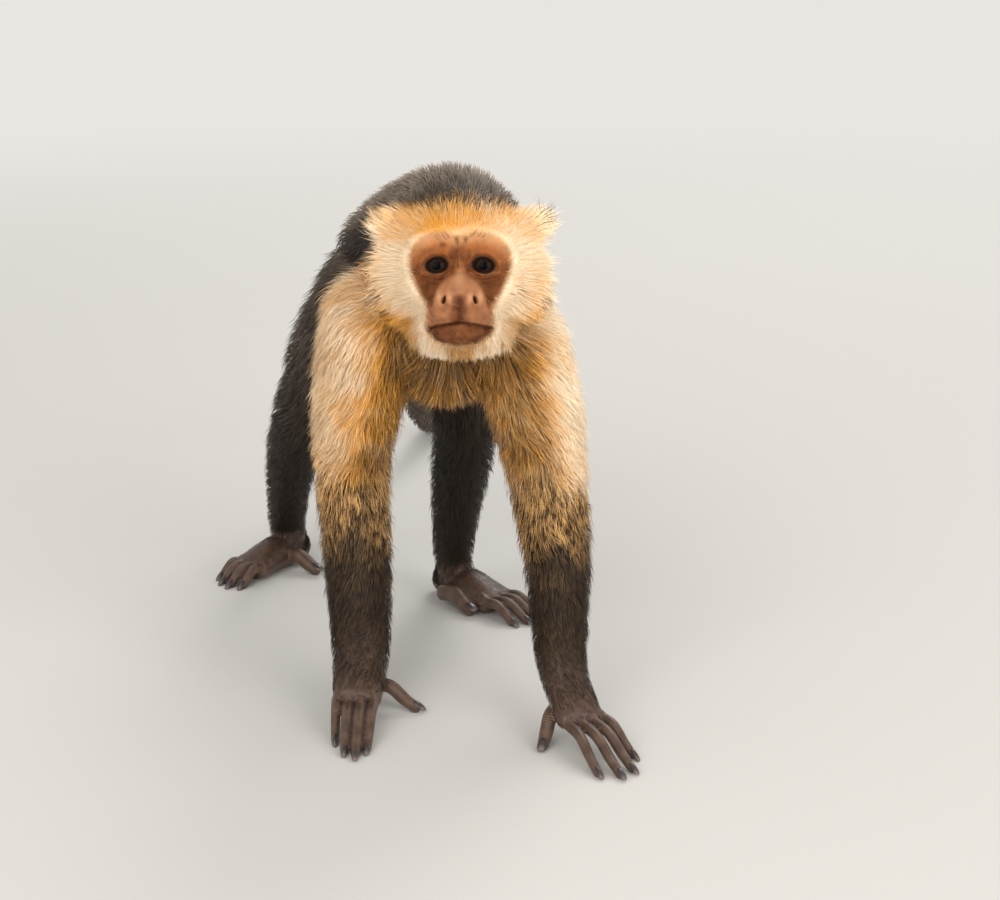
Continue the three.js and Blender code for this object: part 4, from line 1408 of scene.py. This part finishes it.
class Hide:
    """What every lock needs to know of the skin, read once at the skin's vertices."""

    def __init__(self, skin):
        mesh = skin.data
        self.points, self.normals = read_points(mesh), mesh_normals(mesh)
        mesh.calc_loop_triangles()
        self.triangles = read_rows(mesh.loop_triangles, "vertices", 3, np.int32)
        a, b, c = (self.points[self.triangles[:, k]] for k in range(3))
        self.areas = np.linalg.norm(np.cross(b - a, c - a), axis=1) / 2
        self.reads, self.names, self.share = limb_reads(self.points)
        self.head = to_head(self.points)
        self.marks = markings(self.points, self.normals, self.reads, self.names, self.share)
        self.depth = -np.min([read["distance"] for read in self.reads.values()], axis=0)
        self.lie = self.flow()
        self.furred = self.cover()
        self.downy = self.down()

    def flow(self):
        """The way the coat lies at each vertex, along the skin."""
        part = dict(zip(self.names, self.share))
        up = self.normals[:, 2:]
        flank = 1 - np.abs(up)
        total = part["head"][:, None] * self.head_flow()
        trunk = self.reads["trunk"]["ahead"] + 0.55 * flank * DOWN
        total += part["trunk"][:, None] * trunk
        neck = -0.5 * self.reads["neck"]["ahead"] + (0.35 + 0.9 * flank) * DOWN
        total += part["neck"][:, None] * neck
        total += part["tail"][:, None] * self.reads["tail"]["ahead"]
        for side, mirror in SIDES.items():
            arm = self.reads[f"arm_{side}"]
            along = arm["share"]
            sweep = 0.5 - 0.75 * bell(along - 0.42, 0.08) - 0.3 * ramp(along, 0.5, 0.8)
            out = np.outer(sweep, [mirror, 0.15, -0.1])
            total += part[f"arm_{side}"][:, None] * (arm["ahead"] + out)
            back = np.array([0, 0.25, 0])
            total += part[f"leg_{side}"][:, None] * (self.reads[f"leg_{side}"]["ahead"] + back)
            total += part[f"sole_{side}"][:, None] * self.reads[f"sole_{side}"]["ahead"]
        along = total - dot(total, self.normals)[:, None] * self.normals
        self.lying = ramp(np.linalg.norm(along, axis=1), 0.05, 0.4)
        return unit(along)

    def head_flow(self):
        """Away from the nose over the face, then back over the crown and down the cheeks."""
        head = self.head
        away = unit(head - [0, -30, -8])
        away[:, 1] = away[:, 1] * ramp(np.abs(head[:, 0]), 40, 10) + 0.25
        cheeks = ramp(np.abs(head[:, 0]), 16, 30) * ramp(head[:, 2], 8, -14)
        away[:, 2] -= 0.35 * cheeks
        back = ramp(head[:, 1], 8, 26)
        away[:, 2] -= 0.5 * back
        return away @ HEAD_TURN.T

    def cover(self):
        """1 where fur grows, thinning over hands and feet, 0 on the bare face and ears."""
        part = dict(zip(self.names, self.share))
        margin = face_margin(self.head)
        cover = ramp(margin, 3.0, -1.5) ** 2
        above = ramp(self.normals[:, 2], -0.3, 0.2)
        for side in SIDES:
            arm, sole = self.reads[f"arm_{side}"]["share"], self.reads[f"sole_{side}"]["share"]
            near = ramp(self.reads[f"arm_{side}"]["distance"], 1.6, 0.4)
            thin = (0.95 - 0.75 * ramp(arm, 0.88, 0.99)) * above * near
            cover -= part[f"arm_{side}"] * ramp(arm, 0.79, 0.86) * (1 - thin)
            near = ramp(self.reads[f"sole_{side}"]["distance"], 1.6, 0.4)
            thin = (1 - 0.92 * ramp(sole, 0.2, 0.75)) * above * near * (sole < 0.99)
            cover -= part[f"sole_{side}"] * (1 - thin)
            away = np.linalg.norm(self.head - ear_place(side), axis=1)
            proud = self.reads["head"]["distance"] + self.reads["head"]["coat"]
            cover -= 0.7 * ramp(away, 17, 14) * ramp(proud, 0.6, 1.4) * part["head"]
        digits = [limb.measure(self.points)["distance"] for limb in DIGITS.values()]
        return np.clip(cover, 0, 1) * ramp(np.min(digits, axis=0), 0.3, 1.5)

    def down(self):
        """1 where the bare face carries short down, clear of eyes, nostrils and lips."""
        margin = face_margin(self.head)
        clear = ramp(eye_ring(self.head), 1.5, 1.9) * ramp(nostril_ring(self.head), 1.5, 2.2)
        clear *= 1 - 0.9 * bell(lip_line(self.head), 1.6)
        clear *= 1 - 0.85 * bell(lip_line(self.head) + 5, 5)
        dense = 0.01 + 0.99 * ramp(margin, 4 + 3 * ramp(self.head[:, 2], 0, 8), 0)
        return ramp(margin, -1.5, 0.5) * clear * dense

    def roots(self, chosen, count, rng):
        """Roots spread evenly by area over chosen triangles, as triangle and weights."""
        weight = np.cumsum(self.areas * chosen)
        picks = (np.arange(count) + rng.random(count)) / count * weight[-1]
        triangle = np.minimum(np.searchsorted(weight, picks), len(weight) - 1)
        a, b = rng.random((2, count))
        over = a + b > 1
        a[over], b[over] = 1 - a[over], 1 - b[over]
        return triangle, np.stack([1 - a - b, a, b], 1)

    def at(self, values, triangle, weights):
        """Vertex values read at roots."""
        corners = values[self.triangles[triangle]]
        if values.ndim == 1:
            return np.sum(corners * weights, axis=1)
        return np.sum(corners * weights[:, :, None], axis=1)


def coat_distance(points, names):
    """Distance from points to the tips of the coat over some limbs and the head."""
    best = None
    for name in names:
        if name == "head":
            one = coat_field(to_head(points))
        else:
            one = LIMBS[name].measure(points)["distance"]
        best = one if best is None else melt(best, one, 6.0)
    return best


def unwrapped(owner, points):
    """Where points lie on the unwrapped skin of a limb: round it, and along it."""
    if owner == "head":
        out = unit(to_head(points) - HEAD_MIDDLE)
        across = np.arctan2(np.abs(out[:, 0]), -out[:, 1]) / math.pi
        return np.stack([across, np.arcsin(out[:, 2]) / math.pi + 0.5], 1)
    read = LIMBS[owner].measure(points)
    return np.stack([read["angle"] / (2 * math.pi) + 0.5, read["share"]], 1)


def gathered(points, tips, pull, spacing):
    """Tips drawn together in tufts, and a chance number that each tuft shares."""
    centres = np.arange(0, len(points), spacing)
    tree = KDTree(len(centres))
    for index, row in zip(centres, points[centres]):
        tree.insert(row, int(index))
    tree.balance()
    nearest = np.array([tree.find(row)[1] for row in points])
    own = tips - points
    shared = tips[nearest] - points[nearest]
    towards = (points[nearest] - points) * 0.85 + shared
    return points + own * (1 - pull) + towards * pull, nearest


def lock_mesh(name, roots, normals, paths, widths, soft):
    """Closed, tapering three-sided locks. Paths are the middle and tip points of each lock."""
    bend, tip = paths
    count, rings = len(roots), LOCK_RINGS
    shares = np.linspace(0, 1, rings + 1)[:-1] ** 0.9
    forms = np.interp(shares, [0, 0.25, 0.6, 1], [0.75, 1.0, 0.8, 0.1])
    corners = np.radians([30, 150, 270])
    points = np.empty((count, 3 * rings + 1, 3))
    leans = np.empty_like(points)
    for k, (share, form) in enumerate(zip(shares, forms)):
        centre = (1 - share) ** 2 * roots + 2 * share * (1 - share) * bend + share**2 * tip
        ahead = unit((1 - share) * (bend - roots) + share * (tip - bend))
        across = unit(np.cross(normals, ahead))
        out = np.cross(ahead, across)
        for j, turn in enumerate(corners):
            lean = math.cos(turn) * across + 0.75 * math.sin(turn) * out
            points[:, 3 * k + j] = centre + lean * (widths * form / 2)[:, None]
            leans[:, 3 * k + j] = unit(soft["body"] * normals + soft["own"] * lean)
    points[:, -1] = tip
    leans[:, -1] = unit(soft["body"] * normals + soft["own"] * unit(tip - bend))
    each = 3 * rings + 1
    pattern = [[2, 1, 0]]
    for k in range(rings - 1):
        for j in range(3):
            a, b = 3 * k + j, 3 * k + (j + 1) % 3
            pattern.append([a, b, b + 3, a + 3])
    last = 3 * (rings - 1)
    pattern += [[last + j, last + (j + 1) % 3, each - 1] for j in range(3)]
    sizes = np.array([len(row) for row in pattern])
    corner = np.array([k for row in pattern for k in row])
    loops = (np.arange(count)[:, None] * each + corner).ravel()
    starts = np.concatenate([[0], np.cumsum(np.tile(sizes, count))[:-1]])
    mesh = bpy.data.meshes.new(name)
    mesh.vertices.add(count * each)
    mesh.vertices.foreach_set("co", to_metres(points.reshape(-1, 3)).astype(np.float32).ravel())
    mesh.loops.add(len(loops))
    mesh.loops.foreach_set("vertex_index", loops.astype(np.int32))
    mesh.polygons.add(len(starts))
    mesh.polygons.foreach_set("loop_start", starts.astype(np.int32))
    mesh.update(calc_edges=True)
    mesh.shade_smooth()
    mesh.normals_split_custom_set_from_vertices(leans.reshape(-1, 3))
    along = np.concatenate([np.repeat(shares, 3), [1.0]])
    return mesh, along, corner


def dress_mesh(mesh, along, corner, marks, chance, place):
    """Stores each lock's markings, and its patch on the map of the skin."""
    count, each = len(marks), len(along)
    store_colours(mesh, "coat", np.repeat(marks, each, axis=0))
    lock = np.stack([np.tile(along, count), np.repeat(chance, each)], 1)
    store_colours(mesh, "lock", lock)
    ring = np.arange(each)
    side = np.where(ring == each - 1, 0.5, (ring % 3) / 2)
    patch = np.stack([side, along], 1)[corner] * PATCH
    spread = PATCH + (1 - 3 * PATCH) * np.clip(place, 0, 1)
    layer = mesh.uv_layers.new(name="OFBake", do_init=False)
    rows = (spread[:, None, :] + patch[None, :, :]).reshape(-1, 2)
    layer.uv.foreach_set("vector", rows.astype(np.float32).ravel())


def locks_object(name, owner, roots, normals, paths, widths, soft, marks, chance):
    """A piece of locks rooted a little under the skin, with their markings and map."""
    base = roots - normals * ROOTED
    mesh, along, corner = lock_mesh(name, base, normals, paths, widths, soft)
    dress_mesh(mesh, along, corner, marks, chance, unwrapped(owner, roots))
    return linked(name, mesh)


def coat_piece(name, hide, settings, thin):
    """One length of coat as a mesh of locks."""
    owner, low, high, meets, count, longer, width, pull, _ = COATS[name]
    side = SIDES.get(name.rpartition("_")[2], 0) if owner == "head" else 0
    rng = np.random.default_rng(sum(map(ord, name)))
    count = int(count * settings.density * thin)
    own = np.argmax(hide.share, axis=0) == hide.names.index(owner)
    bare = name == "coat_face"
    chosen = (hide.downy if bare else hide.furred) * own
    if side:
        chosen = chosen * (hide.head[:, 0] * side > 0)
        chosen = chosen * (1 + 0.6 * ramp(hide.head[:, 1], 5, -15))
    elif owner != "head":
        place = hide.reads[owner]["share"]
        chosen = chosen * (place >= low) * (place < high)
    triangle, weights = hide.roots(chosen[hide.triangles].mean(1), count, rng)

    def at(values):
        return hide.at(values, triangle, weights)

    roots, normals = at(hide.points), unit(at(hide.normals))
    lie, full = unit(at(hide.lie)), np.maximum(at(hide.depth), 0.0)
    depth = np.maximum(full, LEAST_DEPTH)
    head = to_head(roots)
    swirl = 0.34 * wander(roots, 38, 21) + 0.22 * wander(roots, 11, 22)
    swirl = swirl + rng.normal(0, 0.13, count)
    across = np.cross(normals, lie)
    lie = lie * np.cos(swirl)[:, None] + across * np.sin(swirl)[:, None]
    length = (1.75 * depth + 2.6) * longer * settings.length * rng.uniform(0.72, 1.18, count)
    if owner.startswith("arm"):
        length *= 1 + 0.8 * ramp(at(hide.reads[owner]["share"]), 0.84, 0.95)
    reach = np.where(rng.random(count) < 0.35, 0.25, 0.65) + rng.uniform(0, 0.39, count)
    stray = rng.random(count) * (rng.random(count) < 0.2)
    reach += (0.1 if owner == "trunk" else 0.45) * stray * ramp(full, 1, 4)
    stand = 0.55 + 0.25 * wander(roots, 17, 23)
    if owner == "head":
        margin, beard = face_margin(head), ramp(head[:, 2], -24, -34)
        crown = ramp(head[:, 2], 14, 26) * ramp(np.abs(head[:, 0]), 34, 20)
        ruff = ramp(np.abs(head[:, 0]), 30, 40)
        spike = (1.0 * crown + 0.8 * beard + 0.5 * ruff).clip(0, 1) * rng.random(count) ** 2
        reach += spike
        pull = pull + 0.35 * np.maximum(beard, ruff)[:, None]
        length *= (1 + 0.5 * beard) * (
            0.42 + 0.24 * ramp(margin, 3, -1) + 0.4 * ramp(margin, -1, -12)
        )
    flat = np.sqrt(np.maximum(length**2 - (depth * reach) ** 2, (0.35 * length) ** 2))
    flat = flat * (0.22 + 0.7 * at(hide.lying))
    tip = roots + normals * (depth * reach)[:, None] + lie * flat[:, None]
    over = coat_distance(tip, (owner, *meets)) + full - depth * reach
    tip -= normals * np.clip(over, -6, 14)[:, None]
    tip, nearest = gathered(roots, tip, pull * rng.uniform(0.6, 1.2, count)[:, None], 9)
    if owner == "head":
        hang = 4.5 * np.maximum(beard, 0.5 * ruff) * ramp(rng.random(count)[nearest], 0.35, 1)
        hang *= 0.25 + 0.75 * ramp(margin, -1, -6)
        tip[:, 2] -= hang * rng.uniform(0.6, 1, count)
    bend = roots + normals * (depth * reach * stand)[:, None] * 1.1 + (tip - roots) * 0.3
    tip[:, 2] = np.maximum(tip[:, 2], 0.4)
    bend[:, 2] = np.maximum(bend[:, 2], 0.7)
    chance = 0.5 * rng.random(count) + 0.5 * rng.random(count)[nearest]
    thick = width * rng.uniform(0.75, 1.25, count) * (0.5 + 0.5 * ramp(length, 4, 11))
    marks = at(hide.marks)
    change = 4 * marks[:, 1] * (1 - marks[:, 1])
    noise = rng.normal(0, 0.24, count)
    marks[:, 1] += noise * change
    if owner.startswith("arm"):
        share = at(hide.reads[owner]["share"])
        elbow = ramp(share, 0.28, 0.34) * ramp(share, 0.62, 0.54)
        marks[:, 1] += 0.75 * (ramp(marks[:, 1], 0.28, 0.66) - marks[:, 1]) * elbow
    marks[:, 0] += rng.normal(0, 0.1, count)
    marks = marks.clip(0, 1)
    if owner == "head" and not bare:
        marks[:, 1] += 0.6 * crown * ramp(spike, 0.3, 0.8)
    if bare:
        marks = marks * 0 + [0.5, 0.4, 0, 0]
    soft = {"body": 0.85, "own": 0.45}
    return locks_object(name, owner, roots, normals, (bend, tip), thick, soft, marks, chance)


def coat_material(name, settings, groups):
    material, tree, shader = new_material(name)
    coat, lock = attribute(tree, "coat"), attribute(tree, "lock")
    colour = use_group(
        tree,
        groups["coat"],
        {
            "Shares": coat.outputs["Color"],
            "Sheen share": coat.outputs["Alpha"],
            "Lock": lock.outputs["Color"],
            "Place": place_of(tree),
            **{tone.title(): four(getattr(settings, tone)) for tone in COAT_TONES},
        },
    )
    tree.links.new(colour.outputs[0], shader.inputs["Base Color"])
    shader.inputs["Roughness"].default_value = settings.roughness
    shader.inputs["Specular IOR Level"].default_value = 0.18
    # hair lets part of the light through to the hair beneath it
    shadow = add_node(tree, "ShaderNodeLightPath").outputs["Is Shadow Ray"]
    clear = add_node(tree, "ShaderNodeBsdfTransparent")
    fade_shaders(tree, times(tree, shadow, settings.clear), shader, clear)
    return material


# ------------------------------------------------------------------ eyes and nails


def eye_object(side):
    """An eyeball with its cornea standing a little proud, looking along the head."""
    out, faces = ball_mesh(bpy.ops.mesh.primitive_uv_sphere_add, segments=64, ring_count=40)
    ahead = np.stack([out[:, 0], -out[:, 2], out[:, 1]], 1)
    radius = EYE["radius"] + EYE["cornea"] * ramp(out[:, 2], 0.8, 0.99)
    middle = eye_middles()[list(SIDES).index(side)]
    made = new_object(f"eyeball_{side}", from_head(middle + ahead * radius[:, None]), faces)
    made.data.shade_smooth()
    store_vectors(made.data, "gaze", ahead)
    return made


NAIL = {"width": 0.78, "length": 4.3, "thickness": 1.0, "forward": 1.2}


def nail_parts(prefix):
    """The nails of one hand or foot: points, faces and each point's place on its plate."""
    out, rows = ball_mesh(bpy.ops.mesh.primitive_uv_sphere_add, segments=28, ring_count=18)
    plate = np.sign(out) * np.abs(out) ** [0.85, 0.85, 1.0]
    across, along, up = plate.T
    along = np.where(along > 0, along, along * 0.9)
    crown = np.where(up > 0, up, up * 0.4) - 0.75 * across**2 - 0.55 * np.maximum(along, 0) ** 2
    parts, names, places = [], [], []
    for name, limb in DIGITS.items():
        if not name.startswith(prefix):
            continue
        tip, ahead, half = limb.centre[-1], limb.ahead[-1], limb.girth[-1]
        wide = limb.wide[-1]
        rise = np.cross(wide, ahead)
        rise = rise if rise[2] > 0 else -rise
        width = NAIL["width"] * half[0]
        middle = tip + ahead * NAIL["forward"] + rise * (half[1] * 0.98 - 0.15)
        points = middle + np.outer(across * width, wide) + np.outer(along * NAIL["length"], ahead)
        points += np.outer(crown * NAIL["thickness"], rise)
        turned_over = np.dot(np.cross(wide, ahead), rise) < 0
        parts.append((points, [row[::-1] for row in rows] if turned_over else rows))
        names.append(f"nail_{name}")
        places.append(np.stack([across, along, up], 1))
    return parts, names, np.vstack(places)


def nails_object(limb, side):
    parts, names, places = nail_parts(f"{limb}_{side}_")
    points, faces = joined(parts)
    points[:, 2] = np.maximum(points[:, 2], 0.05)
    made = new_object(f"nails_{limb}_{side}", points, faces)
    made.data.shade_smooth()
    store_vectors(made.data, "plate", places)
    return made, names


# ------------------------------------------------------------------ settings


def tone_setting(name, description, tone):
    """A colour to choose, with its default in the usual 0 to 255 numbers."""
    return FloatVectorProperty(
        name=name, description=description, subtype="COLOR", default=srgb(*tone)
    )


class CapuchinSkinSettings(bpy.types.PropertyGroup):
    """Fineness and colours of the skin."""

    voxel: FloatProperty(
        name="Voxel",
        description="Size of the cells in which the skin is joined",
        default=0.85 * MM,
        min=0.4 * MM,
        unit="LENGTH",
    )
    face_tone: tone_setting("Face", "Brow and cheeks", (148, 86, 42))
    muzzle_tone: tone_setting("Muzzle", "Nose and muzzle", (146, 97, 66))
    # the lips' tone also paints shade into the hollows beside the muzzle, by the bridge and round
    # the eyes
    lip_tone: tone_setting("Lips", "Lips and hollows", (74, 37, 14))
    # the pale tone also paints highlights on the nose wings, the brow and the bridge
    pale_tone: tone_setting("Pale", "Raised, paler skin", (226, 178, 128))
    # the lids' tone also paints shade over the upper lids, in the nostrils and along the mouth's
    # line
    lid_tone: tone_setting("Lids", "Lid edges and creases", (38, 22, 18))
    hand_tone: tone_setting("Hands", "Backs of hands and feet", (76, 56, 43))
    palm_tone: tone_setting("Palms", "Darker patches of hands", (62, 45, 35))
    knuckle_tone: tone_setting("Knuckles", "Skin between creases", (122, 98, 82))
    ear_tone: tone_setting("Ears", "Bare skin of the ears", (150, 108, 90))


class CapuchinCoatSettings(bpy.types.PropertyGroup):
    """Thickness, length and colours of the coat."""

    density: FloatProperty(
        name="Density", description="Number of locks against the usual", default=1.0, min=0.05
    )
    length: FloatProperty(
        name="Length", description="Length of locks against the usual", default=1.0, min=0.3
    )
    roughness: FloatProperty(
        name="Roughness", description="Roughness of the hair", default=0.58, subtype="FACTOR"
    )
    clear: FloatProperty(
        name="Clear", description="Light that passes a hair", default=0.55, subtype="FACTOR"
    )
    cream: tone_setting("Cream", "Cheeks and shoulders", COAT_TONES["cream"])
    gold: tone_setting("Gold", "Crown, throat and arms", COAT_TONES["gold"])
    dark: tone_setting("Dark", "Forearms, legs, back and tail", COAT_TONES["dark"])
    frost: tone_setting("Frost", "Pale tips near the elbows", COAT_TONES["frost"])
    # the grey tone also paints the sheen along the top of the back
    grey: tone_setting("Grey", "Sheen along the back", COAT_TONES["grey"])


class CapuchinDetailSettings(bpy.types.PropertyGroup):
    """Colours of the eyes and nails."""

    iris_tone: tone_setting("Iris", "Streaks of the iris", (38, 23, 15))
    nail_tone: tone_setting("Nail", "Body of the nails", (52, 42, 42))
    edge_tone: tone_setting("Nail edge", "Free edge of the nails", (96, 80, 72))


class CapuchinStageSettings(bpy.types.PropertyGroup):
    """Floor, lights and camera."""

    floor_radius: FloatProperty(
        name="Floor radius", description="Reach of the floor", default=7.0, unit="LENGTH"
    )
    lens: FloatProperty(name="Lens", description="Focal length in mm", default=72.0)
    backdrop: tone_setting("Backdrop", "Floor and background", (232, 230, 225))


# ------------------------------------------------------------------ operators

made = {}


def finished(piece, material=None, replaced=()):
    """Gives a finished piece its material, hangs it from the root and hides the parts it
    replaces.
    """
    if material is not None:
        piece.data.materials.clear()
        piece.data.materials.append(material)
    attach(piece, ROOT)
    if replaced:
        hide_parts(*replaced)
    made[piece.name] = piece
    return piece


def shader_groups():
    if "groups" not in made:
        made["groups"] = {"coat": coat_group(), "grain": grain_group()}
    return made["groups"]


FLESH = ["head", "lower_jaw", "neck", "chest", "belly", "rump"]
FLESH += [f"tail_{k}" for k in range(1, 6)]
FLESH += [
    f"{part}_{side}"
    for part in ("ear", "upper_arm", "forearm", "hand", "thigh", "shank", "foot")
    for side in SIDES
]


class CAPUCHIN_OT_skin(bpy.types.Operator):
    """Makes the one skin that takes the place of the flesh"""

    bl_idname = "capuchin.skin"
    bl_label = "Skin"

    def execute(self, context):
        settings = context.scene.capuchin_skin
        skin = skin_mesh(settings.voxel)
        refine_face(skin)
        if len(skin.data.vertices) < 10000:
            raise RuntimeError("the skin's parts did not join")
        mark_skin(skin)
        skin.data.shade_smooth()
        finished(skin, skin_material(settings, shader_groups()), FLESH)
        return {"FINISHED"}


class CAPUCHIN_OT_eyes(bpy.types.Operator):
    """Makes the two eyeballs"""

    bl_idname = "capuchin.eyes"
    bl_label = "Eyes"

    def execute(self, context):
        material = eye_material(context.scene.capuchin_detail)
        for side in SIDES:
            finished(eye_object(side), material, [f"eye_{side}"])
        return {"FINISHED"}


class CAPUCHIN_OT_nails(bpy.types.Operator):
    """Makes the nails of each hand and foot"""

    bl_idname = "capuchin.nails"
    bl_label = "Nails"

    def execute(self, context):
        material = nail_material(context.scene.capuchin_detail)
        for limb in ("hand", "foot"):
            for side in SIDES:
                piece, names = nails_object(limb, side)
                finished(piece, material, names)
        return {"FINISHED"}


def bristles(hide):
    """A few long dark hairs over the brow and fine pale ones on the upper lip."""
    rng = np.random.default_rng(5)
    rows = []
    for side in SIDES.values():
        for k in range(9):
            spot = (side * (3.4 + 0.9 * k + rng.normal(0, 0.5)), 11.6 + rng.normal(0, 0.9))
            rows.append((*spot, side * rng.uniform(2, 5), -1.6, rng.uniform(2.5, 5), 1.0))
        for k in range(7):
            spot = (side * rng.uniform(13, 17.5), rng.uniform(-31, -27))
            rows.append((*spot, side * rng.uniform(2, 4.5), -2.2, -rng.uniform(1, 3.5), 0.15))
    rows = np.array(rows)
    front = hide.normals[:, 1] < -0.1
    flat, spots = hide.head[front][:, [0, 2]], rows[:, :2]
    nearest = np.array([np.argmin(np.linalg.norm(flat - spot, axis=1)) for spot in spots])
    base, normals = hide.points[front][nearest], hide.normals[front][nearest]
    tip = base + rows[:, 2:5] @ HEAD_TURN.T
    bend = base + (tip - base) * 0.5 + normals * 1.2
    soft = {"body": 0.7, "own": 0.5}
    wide = np.where(rows[:, 5] > 0.5, 0.18, 0.07)
    marks = np.zeros((len(rows), 4))
    marks[:, 0], marks[:, 1] = 0.3, rows[:, 5]
    chance, path = rng.random(len(rows)), (bend, tip)
    return locks_object("bristles", "head", base, normals, path, wide, soft, marks, chance)


class CAPUCHIN_OT_coat(bpy.types.Operator):
    """Grows every length of the coat on the skin"""

    bl_idname = "capuchin.coat"
    bl_label = "Coat"

    def execute(self, context):
        settings = context.scene.capuchin_coat
        hide = Hide(made["skin"])
        materials = {}
        for name, row in COATS.items():
            slot = row[-1]
            if slot not in materials:
                materials[slot] = coat_material(slot, settings, shader_groups())
            piece = coat_piece(name, hide, settings, 1.0)
            finished(piece, materials[slot])
        finished(bristles(hide), materials["coat_pale"])
        return {"FINISHED"}


def floor_material(pale):
    """A plain floor that shades near the model and turns to the backdrop's colour far off."""
    material, tree, shader = new_material("Floor")
    shader.inputs["Roughness"].default_value = 0.85
    far = add_node(tree, "ShaderNodeVectorMath", {0: place_of(tree)}, operation="LENGTH")
    far = ranged(tree, far.outputs["Value"], 0.6, 2.2)
    seen = add_node(tree, "ShaderNodeLightPath").outputs["Is Camera Ray"]
    under = [0.6 * part for part in pale[:3]] + [1]
    tree.links.new(mixed_colour(tree, seen, pale, under), shader.inputs["Base Color"])
    glow = add_node(tree, "ShaderNodeEmission", {"Color": pale})
    fade_shaders(tree, times(tree, far, seen), shader, glow)
    return material


def aim(thing, at, way):
    """Puts a light or the camera in its place, looking one way."""
    thing.location = at
    thing.rotation_mode = "QUATERNION"
    thing.rotation_quaternion = Vector(way).to_track_quat("-Z", "Y")


def area_light(name, at, target, size, power, tone):
    lamp = bpy.data.lights.new(name, "AREA")
    lamp.shape, lamp.size, lamp.energy, lamp.color = "DISK", size, power, tone
    aim(linked(name, lamp), at, Vector(target) - Vector(at))


# Each light: where it stands and what it faces in metres, its width, power and colour.
LIGHTS = {
    "Key": ((-1.1, -1.5, 1.3), (0, 0, 0.15), 1.8, 26, (1.0, 0.98, 0.95)),
    "Fill": ((0.9, -1.9, 0.9), (0, 0, 0.15), 1.5, 24, (1.0, 0.99, 0.97)),
    "Rim": ((1.1, 1.4, 1.9), (0, 0, 0.2), 1.2, 26, (1.0, 0.98, 0.95)),
}
# The camera's turn and rise in degrees, and its distance and shifts in millimetres, from a
# point in the head.
VIEW_POINT = np.array([0.0, 0.0, 250.0])
VIEW = {"turn": -15.0, "rise": 17.0, "distance": 1000.0, "aside": -20.0, "above": 92.5}


def camera_place():
    """Where the camera stands and its way back, from the middle of the head."""
    turn, rise = math.radians(VIEW["turn"]), math.radians(VIEW["rise"])
    level = (math.sin(turn) * math.cos(rise), -math.cos(turn) * math.cos(rise))
    back = np.array([*level, math.sin(rise)])
    right = unit(np.cross(-back, [0, 0, 1]))
    up = np.cross(right, -back)
    at = VIEW_POINT + back * VIEW["distance"] - right * VIEW["aside"] - up * VIEW["above"]
    return to_metres(at), back


class CAPUCHIN_OT_stage(bpy.types.Operator):
    """Sets out the floor, the lights and the camera"""

    bl_idname = "capuchin.stage"
    bl_label = "Stage"

    def execute(self, context):
        settings = context.scene.capuchin_stage
        deselect_all()
        pale = four(settings.backdrop)
        bpy.ops.mesh.primitive_circle_add(
            vertices=96, radius=settings.floor_radius, fill_type="NGON", location=(0, 0, 0)
        )
        floor = context.object
        floor.name = "floor"
        floor.data.materials.append(floor_material(pale))
        world = bpy.data.worlds.new("Studio")
        context.scene.world = world
        world.use_nodes = True
        tree = world.node_tree
        shade = tree.nodes["Background"]
        seen = add_node(tree, "ShaderNodeLightPath").outputs["Is Camera Ray"]
        tone = mixed_colour(tree, seen, four((0.88, 0.86, 0.84)), pale)
        tree.links.new(tone, shade.inputs[0])
        for name, row in LIGHTS.items():
            area_light(name, *row)
        data = bpy.data.cameras.new("Camera")
        data.sensor_width, data.lens = 36.0, settings.lens
        camera = linked("Camera", data)
        at, back = camera_place()
        aim(camera, at, -back)
        context.scene.camera = camera
        context.scene.view_settings.view_transform = "Standard"
        return {"FINISHED"}


class CAPUCHIN_PT_panel(bpy.types.Panel):
    """Lists the pieces of the monkey"""

    bl_idname = "CAPUCHIN_PT_panel"
    bl_label = "Capuchin monkey"
    bl_space_type = "VIEW_3D"
    bl_region_type = "UI"
    bl_category = "Capuchin"

    def draw(self, context):
        column = self.layout.column()
        for operator in OPERATORS:
            column.operator(operator.bl_idname)
        for name in SETTINGS:
            group = getattr(context.scene, name)
            box = self.layout.box()
            for key in group.__annotations__:
                box.prop(group, key)


SETTINGS = {
    "capuchin_skin": CapuchinSkinSettings,
    "capuchin_coat": CapuchinCoatSettings,
    "capuchin_detail": CapuchinDetailSettings,
    "capuchin_stage": CapuchinStageSettings,
}
OPERATORS = (
    CAPUCHIN_OT_skin,
    CAPUCHIN_OT_eyes,
    CAPUCHIN_OT_nails,
    CAPUCHIN_OT_coat,
    CAPUCHIN_OT_stage,
)


def register():
    for kind in (*SETTINGS.values(), *OPERATORS, CAPUCHIN_PT_panel):
        bpy.utils.register_class(kind)
    for name, kind in SETTINGS.items():
        setattr(bpy.types.Scene, name, PointerProperty(type=kind))


def unregister():
    for name in SETTINGS:
        delattr(bpy.types.Scene, name)
    for kind in (CAPUCHIN_PT_panel, *reversed(OPERATORS), *SETTINGS.values()):
        bpy.utils.unregister_class(kind)


def main():
    register()
    bpy.ops.capuchin.skin()
    bpy.ops.capuchin.eyes()
    bpy.ops.capuchin.nails()
    bpy.ops.capuchin.coat()
    bpy.ops.capuchin.stage()


if __name__ == "__main__":
    main()
